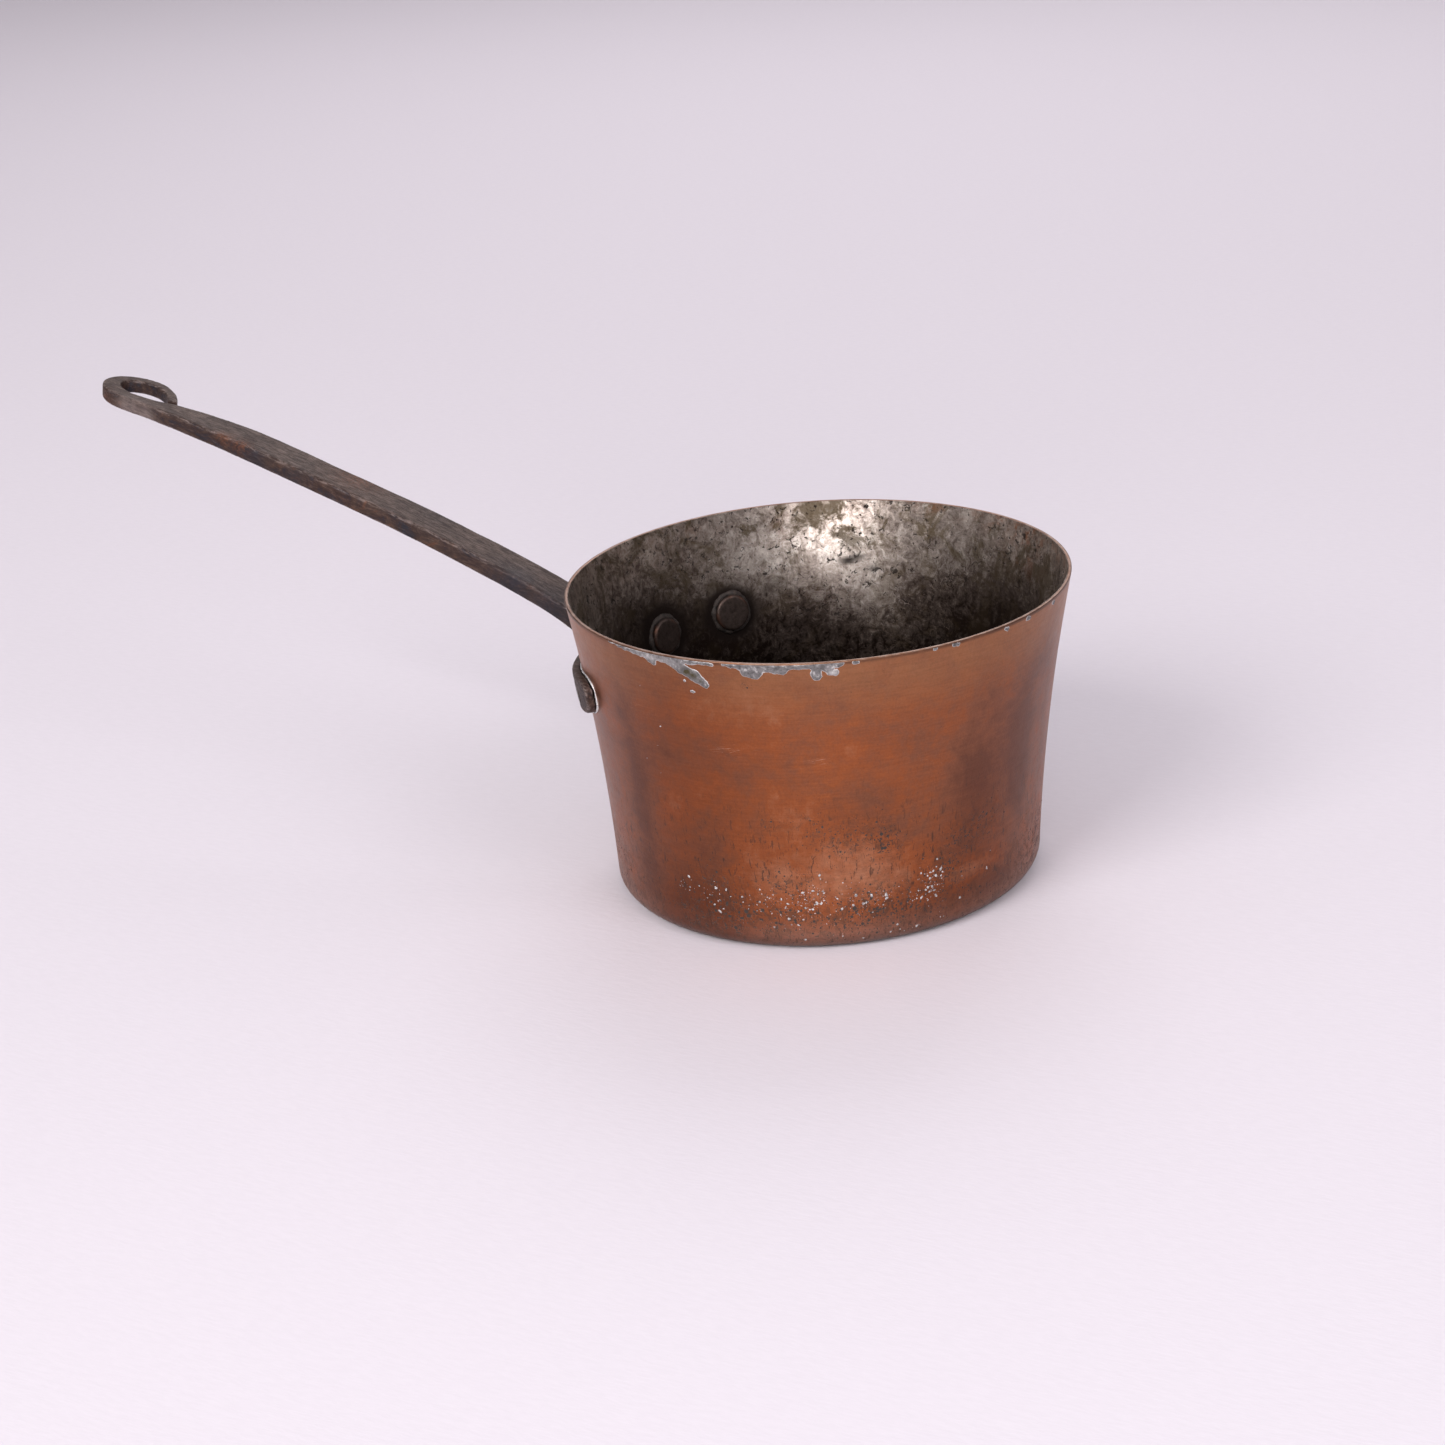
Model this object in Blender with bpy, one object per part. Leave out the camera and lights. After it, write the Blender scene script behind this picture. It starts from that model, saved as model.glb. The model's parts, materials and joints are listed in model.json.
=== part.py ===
"""Copper saucepan: a flaring copper bowl with a wrought-iron handle held by four copper rivets.

The origin is the centre of the base's underside and +Z is up. The handle points along -X.
All lengths are in metres and all named angles are in degrees.
"""

import math

import bmesh
import bpy
from mathutils import Matrix, Vector

# Bowl
TOP_RADIUS = 0.0825
BASE_RADIUS = 0.0706
BOWL_HEIGHT = 0.1017
WALL = 0.0013
FLOOR = 0.0015
CORNER_RADIUS = 0.0057
FLARE_CURVE = 0.65  # 0 is a straight cone; more puts the flare near the rim
OVALITY = 0.03  # the bowl has been knocked slightly out of round
OVAL_AXIS = 69.0
RIM_EASE = 0.0004

# Handle strap, which wraps the wall
STRAP_GAP = 0.0003
STRAP_THICKNESS = 0.0032
STRAP_HALF_HEIGHT = 0.0092
STRAP_END_HALF_HEIGHT = 0.0063
STRAP_HALF_ANGLE = 50.0
STRAP_TIP_HALF_HEIGHT = 0.0016
STRAP_TIP_LENGTH = 0.0080
STRAP_HEIGHT = 0.0657  # of its middle line under the bar
STRAP_RISE = 0.0058  # of its ends over its middle, as a straight strap on a cone rises
STRAP_LEAN = 0.0036  # by which the -Y end sits above, and the +Y end below, a level strap
STRAP_BEVEL = 0.0009

# Handle bar: reach from the pan's axis, height, width and thickness at each station
BAR_STATIONS = (
    (0.0762, 0.0682, 0.0213, 0.0108),
    (0.0830, 0.0748, 0.0180, 0.0080),
    (0.0920, 0.0801, 0.0163, 0.0067),
    (0.1100, 0.0887, 0.0158, 0.0065),
    (0.1500, 0.1042, 0.0152, 0.0064),
    (0.1950, 0.1194, 0.0146, 0.0063),
    (0.2200, 0.1275, 0.0145, 0.0062),
    (0.2400, 0.1329, 0.0124, 0.0060),
)

# Hanging loop, in a plane that rises outwards: distance along the bar's line from LOOP_START,
# distance to the side towards +Y, width and thickness
LOOP_START = (0.2520, 0.1361)
LOOP_SLOPE = 10.0
LOOP_STATIONS = (
    (0.0000, -0.0010, 0.0100, 0.0059),
    (0.0070, -0.0010, 0.0072, 0.0058),
    (0.0140, -0.0007, 0.0062, 0.0058),
    (0.0220, 0.0002, 0.0062, 0.0058),
    (0.0284, 0.0029, 0.0068, 0.0058),
    (0.0322, 0.0068, 0.0072, 0.0057),
    (0.0329, 0.0109, 0.0068, 0.0055),
    (0.0301, 0.0147, 0.0055, 0.0054),
    (0.0244, 0.0168, 0.0045, 0.0053),
    (0.0174, 0.0162, 0.0041, 0.0052),
    (0.0113, 0.0130, 0.0040, 0.0051),
    (0.0073, 0.0092, 0.0041, 0.0050),
    (0.0051, 0.0062, 0.0038, 0.0047),
)
BAR_BEVEL = 0.11  # of the section's smaller side

# Rivets: name and angle from the handle's direction, towards -Y
RIVETS = (
    ("rivet_far_outer", -39.6),
    ("rivet_far_inner", -17.1),
    ("rivet_near_inner", 17.1),
    ("rivet_near_outer", 39.6),
)
RIVET_SHANK_RADIUS = 0.0025
RIVET_HEAD_RADIUS = 0.0064
RIVET_HEAD_TOP_RADIUS = 0.0054
RIVET_HEAD_HEIGHT = 0.0018
RIVET_HEAD_GAP = 0.0006  # the flat head on a hollow wall: its edge is nearer than its middle
RIVET_END_RADIUS = 0.0043
RIVET_END_DOME = 0.0006
COUNTERSINK_DEPTH = 0.0018
HOLE_CLEARANCE = 0.0003

AROUND = 96
RIVET_SIDES = 24

MATERIALS = {
    "copper": ((0.47, 0.17, 0.075), 0.38, 1.0),
    "wrought_iron": ((0.085, 0.072, 0.066), 0.55, 0.8),
    "rivet_copper": ((0.30, 0.21, 0.17), 0.45, 0.9),
}


def make_material(name):
    """Returns a Principled material of the given name's colour, roughness and metallic value."""
    colour, roughness, metallic = MATERIALS[name]
    material = bpy.data.materials.new(name)
    material.use_nodes = True
    shader = material.node_tree.nodes["Principled BSDF"]
    shader.inputs["Base Color"].default_value = (*colour, 1.0)
    shader.inputs["Roughness"].default_value = roughness
    shader.inputs["Metallic"].default_value = metallic
    return material


def add_object(name, shape, material=None, sharp_angle=30.0):
    """Turns a bmesh into a scene object of that name."""
    bmesh.ops.recalc_face_normals(shape, faces=shape.faces)
    mesh = bpy.data.meshes.new(name)
    shape.to_mesh(mesh)
    shape.free()
    mesh.shade_smooth()
    mesh.set_sharp_from_angle(angle=math.radians(sharp_angle))
    if material:
        mesh.materials.append(material)
    piece = bpy.data.objects.new(name, mesh)
    bpy.context.collection.objects.link(piece)
    return piece


def loft(sections, closed_ends=True):
    """Skins closed sections that all have the same number of points."""
    shape = bmesh.new()
    rings = [[shape.verts.new(point) for point in section] for section in sections]
    count = len(rings[0])
    for ring, following in zip(rings, rings[1:]):
        for i in range(count):
            j = (i + 1) % count
            shape.faces.new((ring[i], ring[j], following[j], following[i]))
    if closed_ends:
        shape.faces.new(rings[0][::-1])
        shape.faces.new(rings[-1])
    return shape


# ---------------------------------------------------------------- bowl


def flare(height):
    """The wall's mean outer radius at a height, before the bottom corner is rounded."""
    t = min(max(height / BOWL_HEIGHT, 0.0), 1.0)
    return BASE_RADIUS + (TOP_RADIUS - BASE_RADIUS) * ((1 - FLARE_CURVE) * t + FLARE_CURVE * t * t)


def out_of_round(angle):
    """How far the bowl's section is from a circle in a direction, as a factor near 1."""
    return 1 + OVALITY * math.cos(2 * (angle - math.radians(OVAL_AXIS)))


def corner_arc(radius, inset, lowest, steps):
    """Points of the rounded bottom corner, from the flat floor up to the wall."""
    points = []
    for i in range(steps + 1):
        turn = math.pi / 2 * i / steps
        height = lowest + radius * (1 - math.cos(turn))
        points.append((flare(height) - inset - radius * (1 - math.sin(turn)), height))
    return points


def bowl_profile():
    """Outline of the wall's section, from the base's underside over the rim to the floor."""
    outer = corner_arc(CORNER_RADIUS, 0.0, 0.0, 6)
    inner = corner_arc(CORNER_RADIUS - WALL, WALL, FLOOR, 5)
    wall_heights = [CORNER_RADIUS + (BOWL_HEIGHT - CORNER_RADIUS) * i / 9 for i in range(1, 9)]
    shoulder = BOWL_HEIGHT - RIM_EASE
    outer += [(flare(height), height) for height in wall_heights + [shoulder]]
    inner += [(flare(height) - WALL, height) for height in wall_heights + [shoulder]]
    rim = [(TOP_RADIUS - RIM_EASE, BOWL_HEIGHT), (TOP_RADIUS - WALL + RIM_EASE, BOWL_HEIGHT)]
    return outer + rim + inner[::-1]


def ring_of(radius, height):
    """One level turn of the bowl's slightly oval section."""
    ring = []
    for i in range(AROUND):
        angle = math.tau * i / AROUND
        reach = radius * out_of_round(angle)
        ring.append((reach * math.cos(angle), reach * math.sin(angle), height))
    return ring


def make_bowl(material):
    """The copper bowl, from the base's underside over the rim to the floor inside."""
    shape = loft([ring_of(radius, height) for radius, height in bowl_profile()])
    return add_object("pan_body", shape, material)


# ---------------------------------------------------------------- places on the wall


def wall_point(turn, height, offset=0.0):
    """A point off the wall's outer face. turn is in degrees from the handle, towards -Y."""
    angle = math.pi + math.radians(turn)
    reach = flare(height) * out_of_round(angle) + offset
    return Vector((reach * math.cos(angle), reach * math.sin(angle), height))


def wall_frame(turn, height):
    """A matrix whose Z points out of the wall at a place on its outer face."""
    step = 0.5
    along = wall_point(turn + step, height) - wall_point(turn - step, height)
    upward = wall_point(turn, height + 0.001) - wall_point(turn, height - 0.001)
    outward = along.cross(upward).normalized()
    upward = outward.cross(along).normalized()
    axes = Matrix((along.normalized(), upward, outward)).transposed()
    return Matrix.Translation(wall_point(turn, height)) @ axes.to_4x4()


def strap_height(turn):
    """Height of the strap's middle line."""
    share = turn / STRAP_HALF_ANGLE
    return STRAP_HEIGHT + STRAP_RISE * share * share + STRAP_LEAN * share


# ---------------------------------------------------------------- handle


def smooth_line(points, steps):
    """Catmull-Rom curve through points of any dimension, with steps samples to a span."""
    ends = [[2 * a - b for a, b in zip(points[0], points[1])]]
    tail = [[2 * a - b for a, b in zip(points[-1], points[-2])]]
    knots = ends + [list(point) for point in points] + tail
    line = []
    for a, b, c, d in zip(knots, knots[1:], knots[2:], knots[3:]):
        for i in range(steps):
            t = i / steps
            line.append([
                0.5 * (2 * q + (r - p) * t + (2 * p - 5 * q + 4 * r - s) * t * t
                       + (3 * q - p - 3 * r + s) * t ** 3)
                for p, q, r, s in zip(a, b, c, d)
            ])
    return line + [list(points[-1])]


def handle_line():
    """Samples of the bar and the loop: x, y, z, width and thickness."""
    slope = math.radians(LOOP_SLOPE)
    stations = [(-reach, 0.0, height, width, thickness)
                for reach, height, width, thickness in BAR_STATIONS]
    for along, side, width, thickness in LOOP_STATIONS:
        reach = LOOP_START[0] + along * math.cos(slope)
        height = LOOP_START[1] + along * math.sin(slope)
        stations.append((-reach, side, height, width, thickness))
    return smooth_line(stations, 4)


def bar_section(width, thickness):
    """A rectangle with bevelled edges, as (across, up) points."""
    bevel = BAR_BEVEL * min(width, thickness)
    w, t = width / 2, thickness / 2
    return [(w, -t + bevel), (w, t - bevel), (w - bevel, t), (-w + bevel, t),
            (-w, t - bevel), (-w, -t + bevel), (-w + bevel, -t), (w - bevel, -t)]


def make_bar():
    """The bar and its loop: one bevelled section swept along the handle's line."""
    line = handle_line()
    places = [Vector(sample[:3]) for sample in line]
    loop_up = Vector((math.sin(math.radians(LOOP_SLOPE)), 0, math.cos(math.radians(LOOP_SLOPE))))
    sections = []
    for i, (place, sample) in enumerate(zip(places, line)):
        ahead = places[min(i + 1, len(places) - 1)]
        behind = places[max(i - 1, 0)]
        forward = (ahead - behind).normalized()
        on_bar = -place.x < LOOP_START[0] and i < len(line) // 2
        up = Vector((0, 0, 1)) if on_bar else loop_up
        across = forward.cross(up).normalized()
        up = across.cross(forward).normalized()
        sections.append([place + across * a + up * b for a, b in bar_section(*sample[3:])])
    return loft(sections)


def strap_half_height(turn):
    """Half the strap's height: it tapers a little from the bar, and both ends are rounded off."""
    arc_to_end = math.radians(STRAP_HALF_ANGLE - abs(turn)) * flare(STRAP_HEIGHT)
    share = min(arc_to_end / STRAP_TIP_LENGTH, 1.0)
    rounding = math.sqrt(1 - (1 - share) ** 2)
    taper = STRAP_HALF_HEIGHT - STRAP_END_HALF_HEIGHT
    full = STRAP_HALF_HEIGHT - taper * abs(turn) / STRAP_HALF_ANGLE
    return STRAP_TIP_HALF_HEIGHT + (full - STRAP_TIP_HALF_HEIGHT) * rounding


def strap_turns():
    """Angles of the strap's sections, closer together at its rounded ends."""
    tip = math.degrees(STRAP_TIP_LENGTH / flare(STRAP_HEIGHT))
    ends = [STRAP_HALF_ANGLE - tip * (1 - math.cos(math.pi / 2 * i / 6)) for i in range(7)]
    straight = ends[-1]
    middle = [straight * (1 - 2 * i / 26) for i in range(1, 26)]
    return ends + middle + [-turn for turn in ends[::-1]]


def make_strap():
    """The strap: a flat bar bent round the wall, with its outer edges bevelled."""
    sections = []
    for turn in strap_turns():
        middle = strap_height(turn)
        half = strap_half_height(turn)
        inner = STRAP_GAP
        outer = STRAP_GAP + STRAP_THICKNESS
        edge = half - STRAP_BEVEL
        outline = [(-half, inner), (0, inner), (half, inner), (half, outer - STRAP_BEVEL),
                   (edge, outer), (0, outer), (-edge, outer), (-half, outer - STRAP_BEVEL)]
        sections.append([wall_point(turn, middle + up, offset) for up, offset in outline])
    return loft(sections)


def make_root_trim():
    """The cutter that ends the bar's root halfway through the strap, short of the bowl."""
    offset = STRAP_GAP + STRAP_THICKNESS / 2
    margin = 0.02
    heights = [margin * 1.5 + (BOWL_HEIGHT - margin * 1.5) * i / 10 for i in range(11)]
    sections = [ring_of(flare(height) + offset, height) for height in heights]
    trim = add_object("root_trim", loft(sections))
    hide_tool(trim)
    return trim


def make_handle(material, holes):
    """The strap, the bar and the loop as one forging, with its rivet holes."""
    handle = add_object("handle", make_strap(), material)
    bar = add_object("bar_to_join", make_bar())
    hide_tool(bar)
    apply_boolean(bar, make_root_trim(), "DIFFERENCE")
    apply_boolean(handle, bar, "UNION")
    for hole in holes:
        apply_boolean(handle, hole, "DIFFERENCE")
    return handle


def apply_boolean(piece, tool, operation):
    """Adds a live Boolean to a piece."""
    modifier = piece.modifiers.new(operation.lower(), "BOOLEAN")
    modifier.operation = operation
    modifier.solver = "EXACT"
    modifier.object = tool


def hide_tool(tool):
    """Marks an object as a cutter or a guide, which is not part of the pan."""
    tool.hide_render = True
    tool.display_type = "WIRE"


# ---------------------------------------------------------------- rivets


def turned(profile, frame):
    """A solid turned about a frame's Z axis from (radius, height) points; ends on the axis."""
    shape = bmesh.new()
    lower = shape.verts.new(frame @ Vector((0, 0, profile[0][1])))
    upper = shape.verts.new(frame @ Vector((0, 0, profile[-1][1])))
    rings = []
    for radius, height in profile[1:-1]:
        ring = []
        for i in range(RIVET_SIDES):
            angle = math.tau * i / RIVET_SIDES
            corner = Vector((radius * math.cos(angle), radius * math.sin(angle), height))
            ring.append(shape.verts.new(frame @ corner))
        rings.append(ring)
    for i in range(RIVET_SIDES):
        j = (i + 1) % RIVET_SIDES
        shape.faces.new((lower, rings[0][j], rings[0][i]))
        shape.faces.new((upper, rings[-1][i], rings[-1][j]))
        for ring, following in zip(rings, rings[1:]):
            shape.faces.new((ring[i], ring[j], following[j], following[i]))
    return shape


def make_rivet(name, turn, material):
    """A rivet: flat head inside the pan, shank, and an end spread into the countersink."""
    head = -WALL - RIVET_HEAD_GAP
    face = STRAP_GAP + STRAP_THICKNESS
    seat = face - COUNTERSINK_DEPTH
    profile = [
        (0, head - RIVET_HEAD_HEIGHT),
        (RIVET_HEAD_TOP_RADIUS, head - RIVET_HEAD_HEIGHT),
        (RIVET_HEAD_RADIUS, head - RIVET_HEAD_HEIGHT * 0.35),
        (RIVET_HEAD_RADIUS, head),
        (RIVET_SHANK_RADIUS, head),
        (RIVET_SHANK_RADIUS, seat),
        (RIVET_END_RADIUS, face),
        (RIVET_END_RADIUS * 0.8, face + RIVET_END_DOME * 0.6),
        (RIVET_END_RADIUS * 0.4, face + RIVET_END_DOME * 0.95),
        (0, face + RIVET_END_DOME),
    ]
    return add_object(name, turned(profile, wall_frame(turn, strap_height(turn))), material)


def make_hole(name, turn):
    """The cutter of a rivet's hole: a drill with a countersink that opens outwards."""
    face = STRAP_GAP + STRAP_THICKNESS
    seat = face - COUNTERSINK_DEPTH
    radius = RIVET_SHANK_RADIUS + HOLE_CLEARANCE
    spread = (RIVET_END_RADIUS - RIVET_SHANK_RADIUS) / COUNTERSINK_DEPTH
    mouth = 0.002
    profile = [
        (0, -WALL - mouth),
        (radius, -WALL - mouth),
        (radius, seat),
        (radius + spread * (COUNTERSINK_DEPTH + mouth), face + mouth),
        (0, face + mouth),
    ]
    hole = add_object(name, turned(profile, wall_frame(turn, strap_height(turn))))
    hide_tool(hole)
    return hole


def main():
    """Clears the scene and builds the saucepan."""
    for old in list(bpy.data.objects):
        bpy.data.objects.remove(old, do_unlink=True)
    materials = {name: make_material(name) for name in MATERIALS}
    holes = [make_hole(f"hole_for_{name}", turn) for name, turn in RIVETS]
    bowl = make_bowl(materials["copper"])
    for hole in holes:
        apply_boolean(bowl, hole, "DIFFERENCE")
    make_handle(materials["wrought_iron"], holes)
    for name, turn in RIVETS:
        make_rivet(name, turn, materials["rivet_copper"])


main()
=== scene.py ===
"""An old copper saucepan with a wrought-iron handle, dressed for a studio picture.

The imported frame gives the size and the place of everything. Lengths are in metres, except where
a name or docstring says millimetres. Angles round the bowl are in degrees from +X towards +Y, so
the handle stands out at 180 and the side turned to the camera is near 298.
"""

import json
import logging
import math
from dataclasses import dataclass, field
from enum import Enum
from typing import Any, Sequence

import bmesh
import bpy
import numpy as np
from mathutils import Matrix, Vector, noise
from mathutils.bvhtree import BVHTree

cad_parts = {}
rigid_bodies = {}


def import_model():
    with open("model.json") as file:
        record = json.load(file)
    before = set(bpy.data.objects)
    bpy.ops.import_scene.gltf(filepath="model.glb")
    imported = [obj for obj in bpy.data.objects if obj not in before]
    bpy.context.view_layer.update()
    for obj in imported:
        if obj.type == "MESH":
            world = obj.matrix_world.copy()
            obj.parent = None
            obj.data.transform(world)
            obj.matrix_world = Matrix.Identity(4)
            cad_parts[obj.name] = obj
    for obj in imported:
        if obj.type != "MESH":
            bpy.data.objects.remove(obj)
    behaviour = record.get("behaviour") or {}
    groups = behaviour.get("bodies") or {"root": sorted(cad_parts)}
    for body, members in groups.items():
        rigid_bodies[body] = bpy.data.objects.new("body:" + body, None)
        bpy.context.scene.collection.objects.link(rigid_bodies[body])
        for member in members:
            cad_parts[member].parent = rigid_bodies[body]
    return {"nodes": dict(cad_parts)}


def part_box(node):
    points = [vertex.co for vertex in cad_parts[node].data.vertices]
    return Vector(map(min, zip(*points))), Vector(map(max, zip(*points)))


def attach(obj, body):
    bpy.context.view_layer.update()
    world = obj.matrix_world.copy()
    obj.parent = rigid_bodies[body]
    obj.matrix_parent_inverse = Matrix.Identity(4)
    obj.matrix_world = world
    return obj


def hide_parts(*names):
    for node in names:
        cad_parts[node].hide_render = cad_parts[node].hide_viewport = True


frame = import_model()

LOG = logging.getLogger("saucepan")
MM = 0.001
Colour = tuple[float, float, float]
Place = tuple[float, float, float]
Outline = list[tuple[float, float]]
Spots = tuple[tuple[Place, float], ...]


class Slot(Enum):
    """The record's material slots."""

    COPPER = "copper"
    TIN = "tin"
    IRON = "wrought_iron"
    RIVET = "rivet_copper"


# ---------------------------------------------------------------- node trees


class Graph:
    """A node tree under construction."""

    def __init__(self, tree: bpy.types.NodeTree) -> None:
        """Starts on a tree.

        Args:
            tree: The tree that gets the nodes.
        """
        self.tree = tree

    def add(self, kind: str, inputs: dict[Any, Any] | None = None, **settings: Any) -> Any:
        """Adds one node.

        Args:
            kind: The node's type name.
            inputs: What each input gets, by name or number: a socket to link or a value to set.
            settings: The node's own properties.

        Returns:
            The node.
        """
        node = self.tree.nodes.new(kind)
        for name, value in settings.items():
            setattr(node, name, value)
        for name, value in (inputs or {}).items():
            self.feed(node.inputs[name], value)
        return node

    def feed(self, socket: Any, value: Any) -> None:
        """Links a socket to another, or sets its value.

        Args:
            socket: The input that is fed.
            value: An output socket or a plain value.
        """
        if isinstance(value, bpy.types.NodeSocket):
            self.tree.links.new(value, socket)
        else:
            socket.default_value = value

    def calc(self, operation: str, *values: Any) -> Any:
        """Returns the result of a Math node on sockets or numbers."""
        return self.add("ShaderNodeMath", dict(enumerate(values)), operation=operation).outputs[0]

    def vector(self, operation: str, *values: Any) -> Any:
        """Returns the vector that a Vector Math node makes of sockets or values."""
        node = self.add("ShaderNodeVectorMath", dict(enumerate(values)), operation=operation)
        return node.outputs[0]

    def grain(self, size: float, where: Any, detail: float = 3.0, roughness: float = 0.5,
              twist: float = 0.0) -> Any:
        """Adds a noise texture.

        Args:
            size: How far apart its lumps are, in metres where the coordinates are.
            where: The coordinates it reads.
            detail: How many finer layers it has.
            roughness: How strong the finer layers are.
            twist: How much the pattern is distorted.

        Returns:
            The noise, from 0 to 1.
        """
        inputs = {"Vector": where, "Scale": 1 / size, "Detail": detail,
                  "Roughness": roughness, "Distortion": twist}
        return self.add("ShaderNodeTexNoise", inputs).outputs[0]

    def span(self, value: Any, low: float, high: float, start: float = 0.0,
             end: float = 1.0) -> Any:
        """Takes the range low to high smoothly to start to end.

        Args:
            value: The socket that is read.
            low: Where the result is start.
            high: Where the result is end.
            start: The result up to low.
            end: The result from high on.

        Returns:
            The socket with the result.
        """
        inputs = {"Value": value, "From Min": low, "From Max": high, "To Min": start, "To Max": end}
        node = self.add("ShaderNodeMapRange", inputs, interpolation_type="SMOOTHSTEP")
        return node.outputs[0]


class Finish(Graph):
    """One Principled material, put together from procedural nodes on Object coordinates."""

    def __init__(self, name: str) -> None:
        """Starts a material.

        Args:
            name: The material's name.
        """
        self.material = bpy.data.materials.new(name)
        self.material.use_nodes = True
        super().__init__(self.material.node_tree)
        self.shader = self.tree.nodes["Principled BSDF"]
        self.place = self.add("ShaderNodeTexCoord").outputs["Object"]

    def stretched(self, scale: Sequence[float], turn: Sequence[float] = (0, 0, 0)) -> Any:
        """Object coordinates turned, in degrees, and then scaled.

        Args:
            scale: The factor along each axis; a small one draws a pattern out.
            turn: The turn about each axis.

        Returns:
            The vector socket.
        """
        turned = self.add("ShaderNodeMapping", {"Vector": self.place,
                                                "Rotation": [math.radians(a) for a in turn]})
        return self.vector("MULTIPLY", turned.outputs[0], tuple(scale))

    def painted(self, name: str) -> Any:
        """Returns a number stored on the mesh."""
        return self.add("ShaderNodeAttribute", attribute_name=name).outputs[2]

    def cells(self, size: float, where: Any) -> Any:
        """Returns the distance to the nearest of scattered points about size apart."""
        inputs = {"Vector": where, "Scale": 1 / size}
        return self.add("ShaderNodeTexVoronoi", inputs).outputs["Distance"]

    def ramp(self, value: Any, stops: Sequence[tuple[float, Colour]]) -> Any:
        """Turns a number into a colour.

        Args:
            value: The number, from 0 to 1.
            stops: Positions and their colours.

        Returns:
            The colour socket.
        """
        node = self.add("ShaderNodeValToRGB", {0: value})
        elements = node.color_ramp.elements
        while len(elements) < len(stops):
            elements.new(0.5)
        for element, (position, colour) in zip(elements, stops):
            element.position = position
            element.color = (*colour, 1.0)
        return node.outputs[0]

    def mix(self, share: Any, under: Any, over: Any) -> Any:
        """Lays one colour over another.

        Args:
            share: How much of the second shows.
            under: The first colour, a socket or a tuple.
            over: The second colour.

        Returns:
            The colour socket.
        """
        values = [(*v, 1.0) if isinstance(v, tuple) else v for v in (under, over)]
        node = self.add("ShaderNodeMix", data_type="RGBA")
        self.feed(node.inputs[0], share)
        self.feed(node.inputs[6], values[0])
        self.feed(node.inputs[7], values[1])
        return node.outputs[2]

    def shade(self, colour: Any, amount: Any) -> Any:
        """Returns the colour multiplied by a number."""
        return self.vector("SCALE", colour, (0, 0, 0), (0, 0, 0), amount)

    def dress(self, colour: Any, roughness: Any, metallic: Any, relief: Any = None,
              depth: float = 0.0, gloss: float = 0.5) -> bpy.types.Material:
        """Feeds the shader.

        Args:
            colour: The base colour.
            roughness: The roughness.
            metallic: The metallic share.
            relief: The height that the bump follows, from 0 to 1.
            depth: How deep that relief is.
            gloss: The shader's specular level.

        Returns:
            The finished material.
        """
        self.shader.inputs["Specular IOR Level"].default_value = gloss
        self.feed(self.shader.inputs["Base Color"], colour)
        self.feed(self.shader.inputs["Roughness"], roughness)
        self.feed(self.shader.inputs["Metallic"], metallic)
        if relief is not None:
            bump = self.add("ShaderNodeBump", {"Height": relief, "Distance": depth, "Strength": 1.0})
            self.feed(self.shader.inputs["Normal"], bump.outputs[0])
        return self.material


class ShapeTree(Graph):
    """A Geometry Nodes tree with named inputs, which ends in Realize Instances and Set Material."""

    KINDS = {float: "NodeSocketFloat", int: "NodeSocketInt", bpy.types.Object: "NodeSocketObject",
             bpy.types.Material: "NodeSocketMaterial"}

    def __init__(self, name: str, inputs: dict[str, type]) -> None:
        """Starts a tree.

        Args:
            name: The tree's name.
            inputs: The kind of each named input; Geometry and Material are always there.
        """
        super().__init__(bpy.data.node_groups.new(name, "GeometryNodeTree"))
        face = self.tree.interface
        face.new_socket("Geometry", in_out="INPUT", socket_type="NodeSocketGeometry")
        face.new_socket("Geometry", in_out="OUTPUT", socket_type="NodeSocketGeometry")
        self.ids = {}
        for label, kind in {**inputs, "Material": bpy.types.Material}.items():
            socket = face.new_socket(label, in_out="INPUT", socket_type=self.KINDS[kind])
            self.ids[label] = socket.identifier
        self.given = self.add("NodeGroupInput").outputs

    def close(self, geometry: Any) -> None:
        """Ends the tree: smooth faces, real geometry and the material.

        Args:
            geometry: The shape that the tree made.
        """
        smooth = self.add("GeometryNodeSetShadeSmooth", {"Geometry": geometry}).outputs[0]
        real = self.add("GeometryNodeRealizeInstances", {"Geometry": smooth}).outputs[0]
        inputs = {"Geometry": real, "Material": self.given["Material"]}
        dressed = self.add("GeometryNodeSetMaterial", inputs).outputs[0]
        self.add("NodeGroupOutput", {0: dressed})

    def run(self, name: str, base: bpy.types.Mesh | None = None, **values: Any) -> bpy.types.Object:
        """Makes a plain mesh object from the tree.

        Args:
            name: The new object's name.
            base: The mesh that the tree starts from.
            values: What each input gets; an underscore stands for a space in its name.

        Returns:
            The object, with no modifier left.
        """
        host = bpy.data.objects.new(f"{name}_host", base or bpy.data.meshes.new(f"{name}_host"))
        bpy.context.collection.objects.link(host)
        modifier = host.modifiers.new(self.tree.name, "NODES")
        modifier.node_group = self.tree
        for label, value in values.items():
            modifier[self.ids[label.replace("_", " ")]] = value
        return plain_copy(host, name)


def plain_copy(host: bpy.types.Object, name: str) -> bpy.types.Object:
    """Bakes an object's modifiers into a new plain mesh object and removes the old one.

    Args:
        host: The object with the modifiers.
        name: The new object's name.

    Returns:
        The new object, in the scene.
    """
    graph = bpy.context.evaluated_depsgraph_get()
    mesh = bpy.data.meshes.new_from_object(host.evaluated_get(graph), depsgraph=graph)
    mesh.name = name
    bpy.data.objects.remove(host, do_unlink=True)
    return in_scene(name, mesh)


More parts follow.
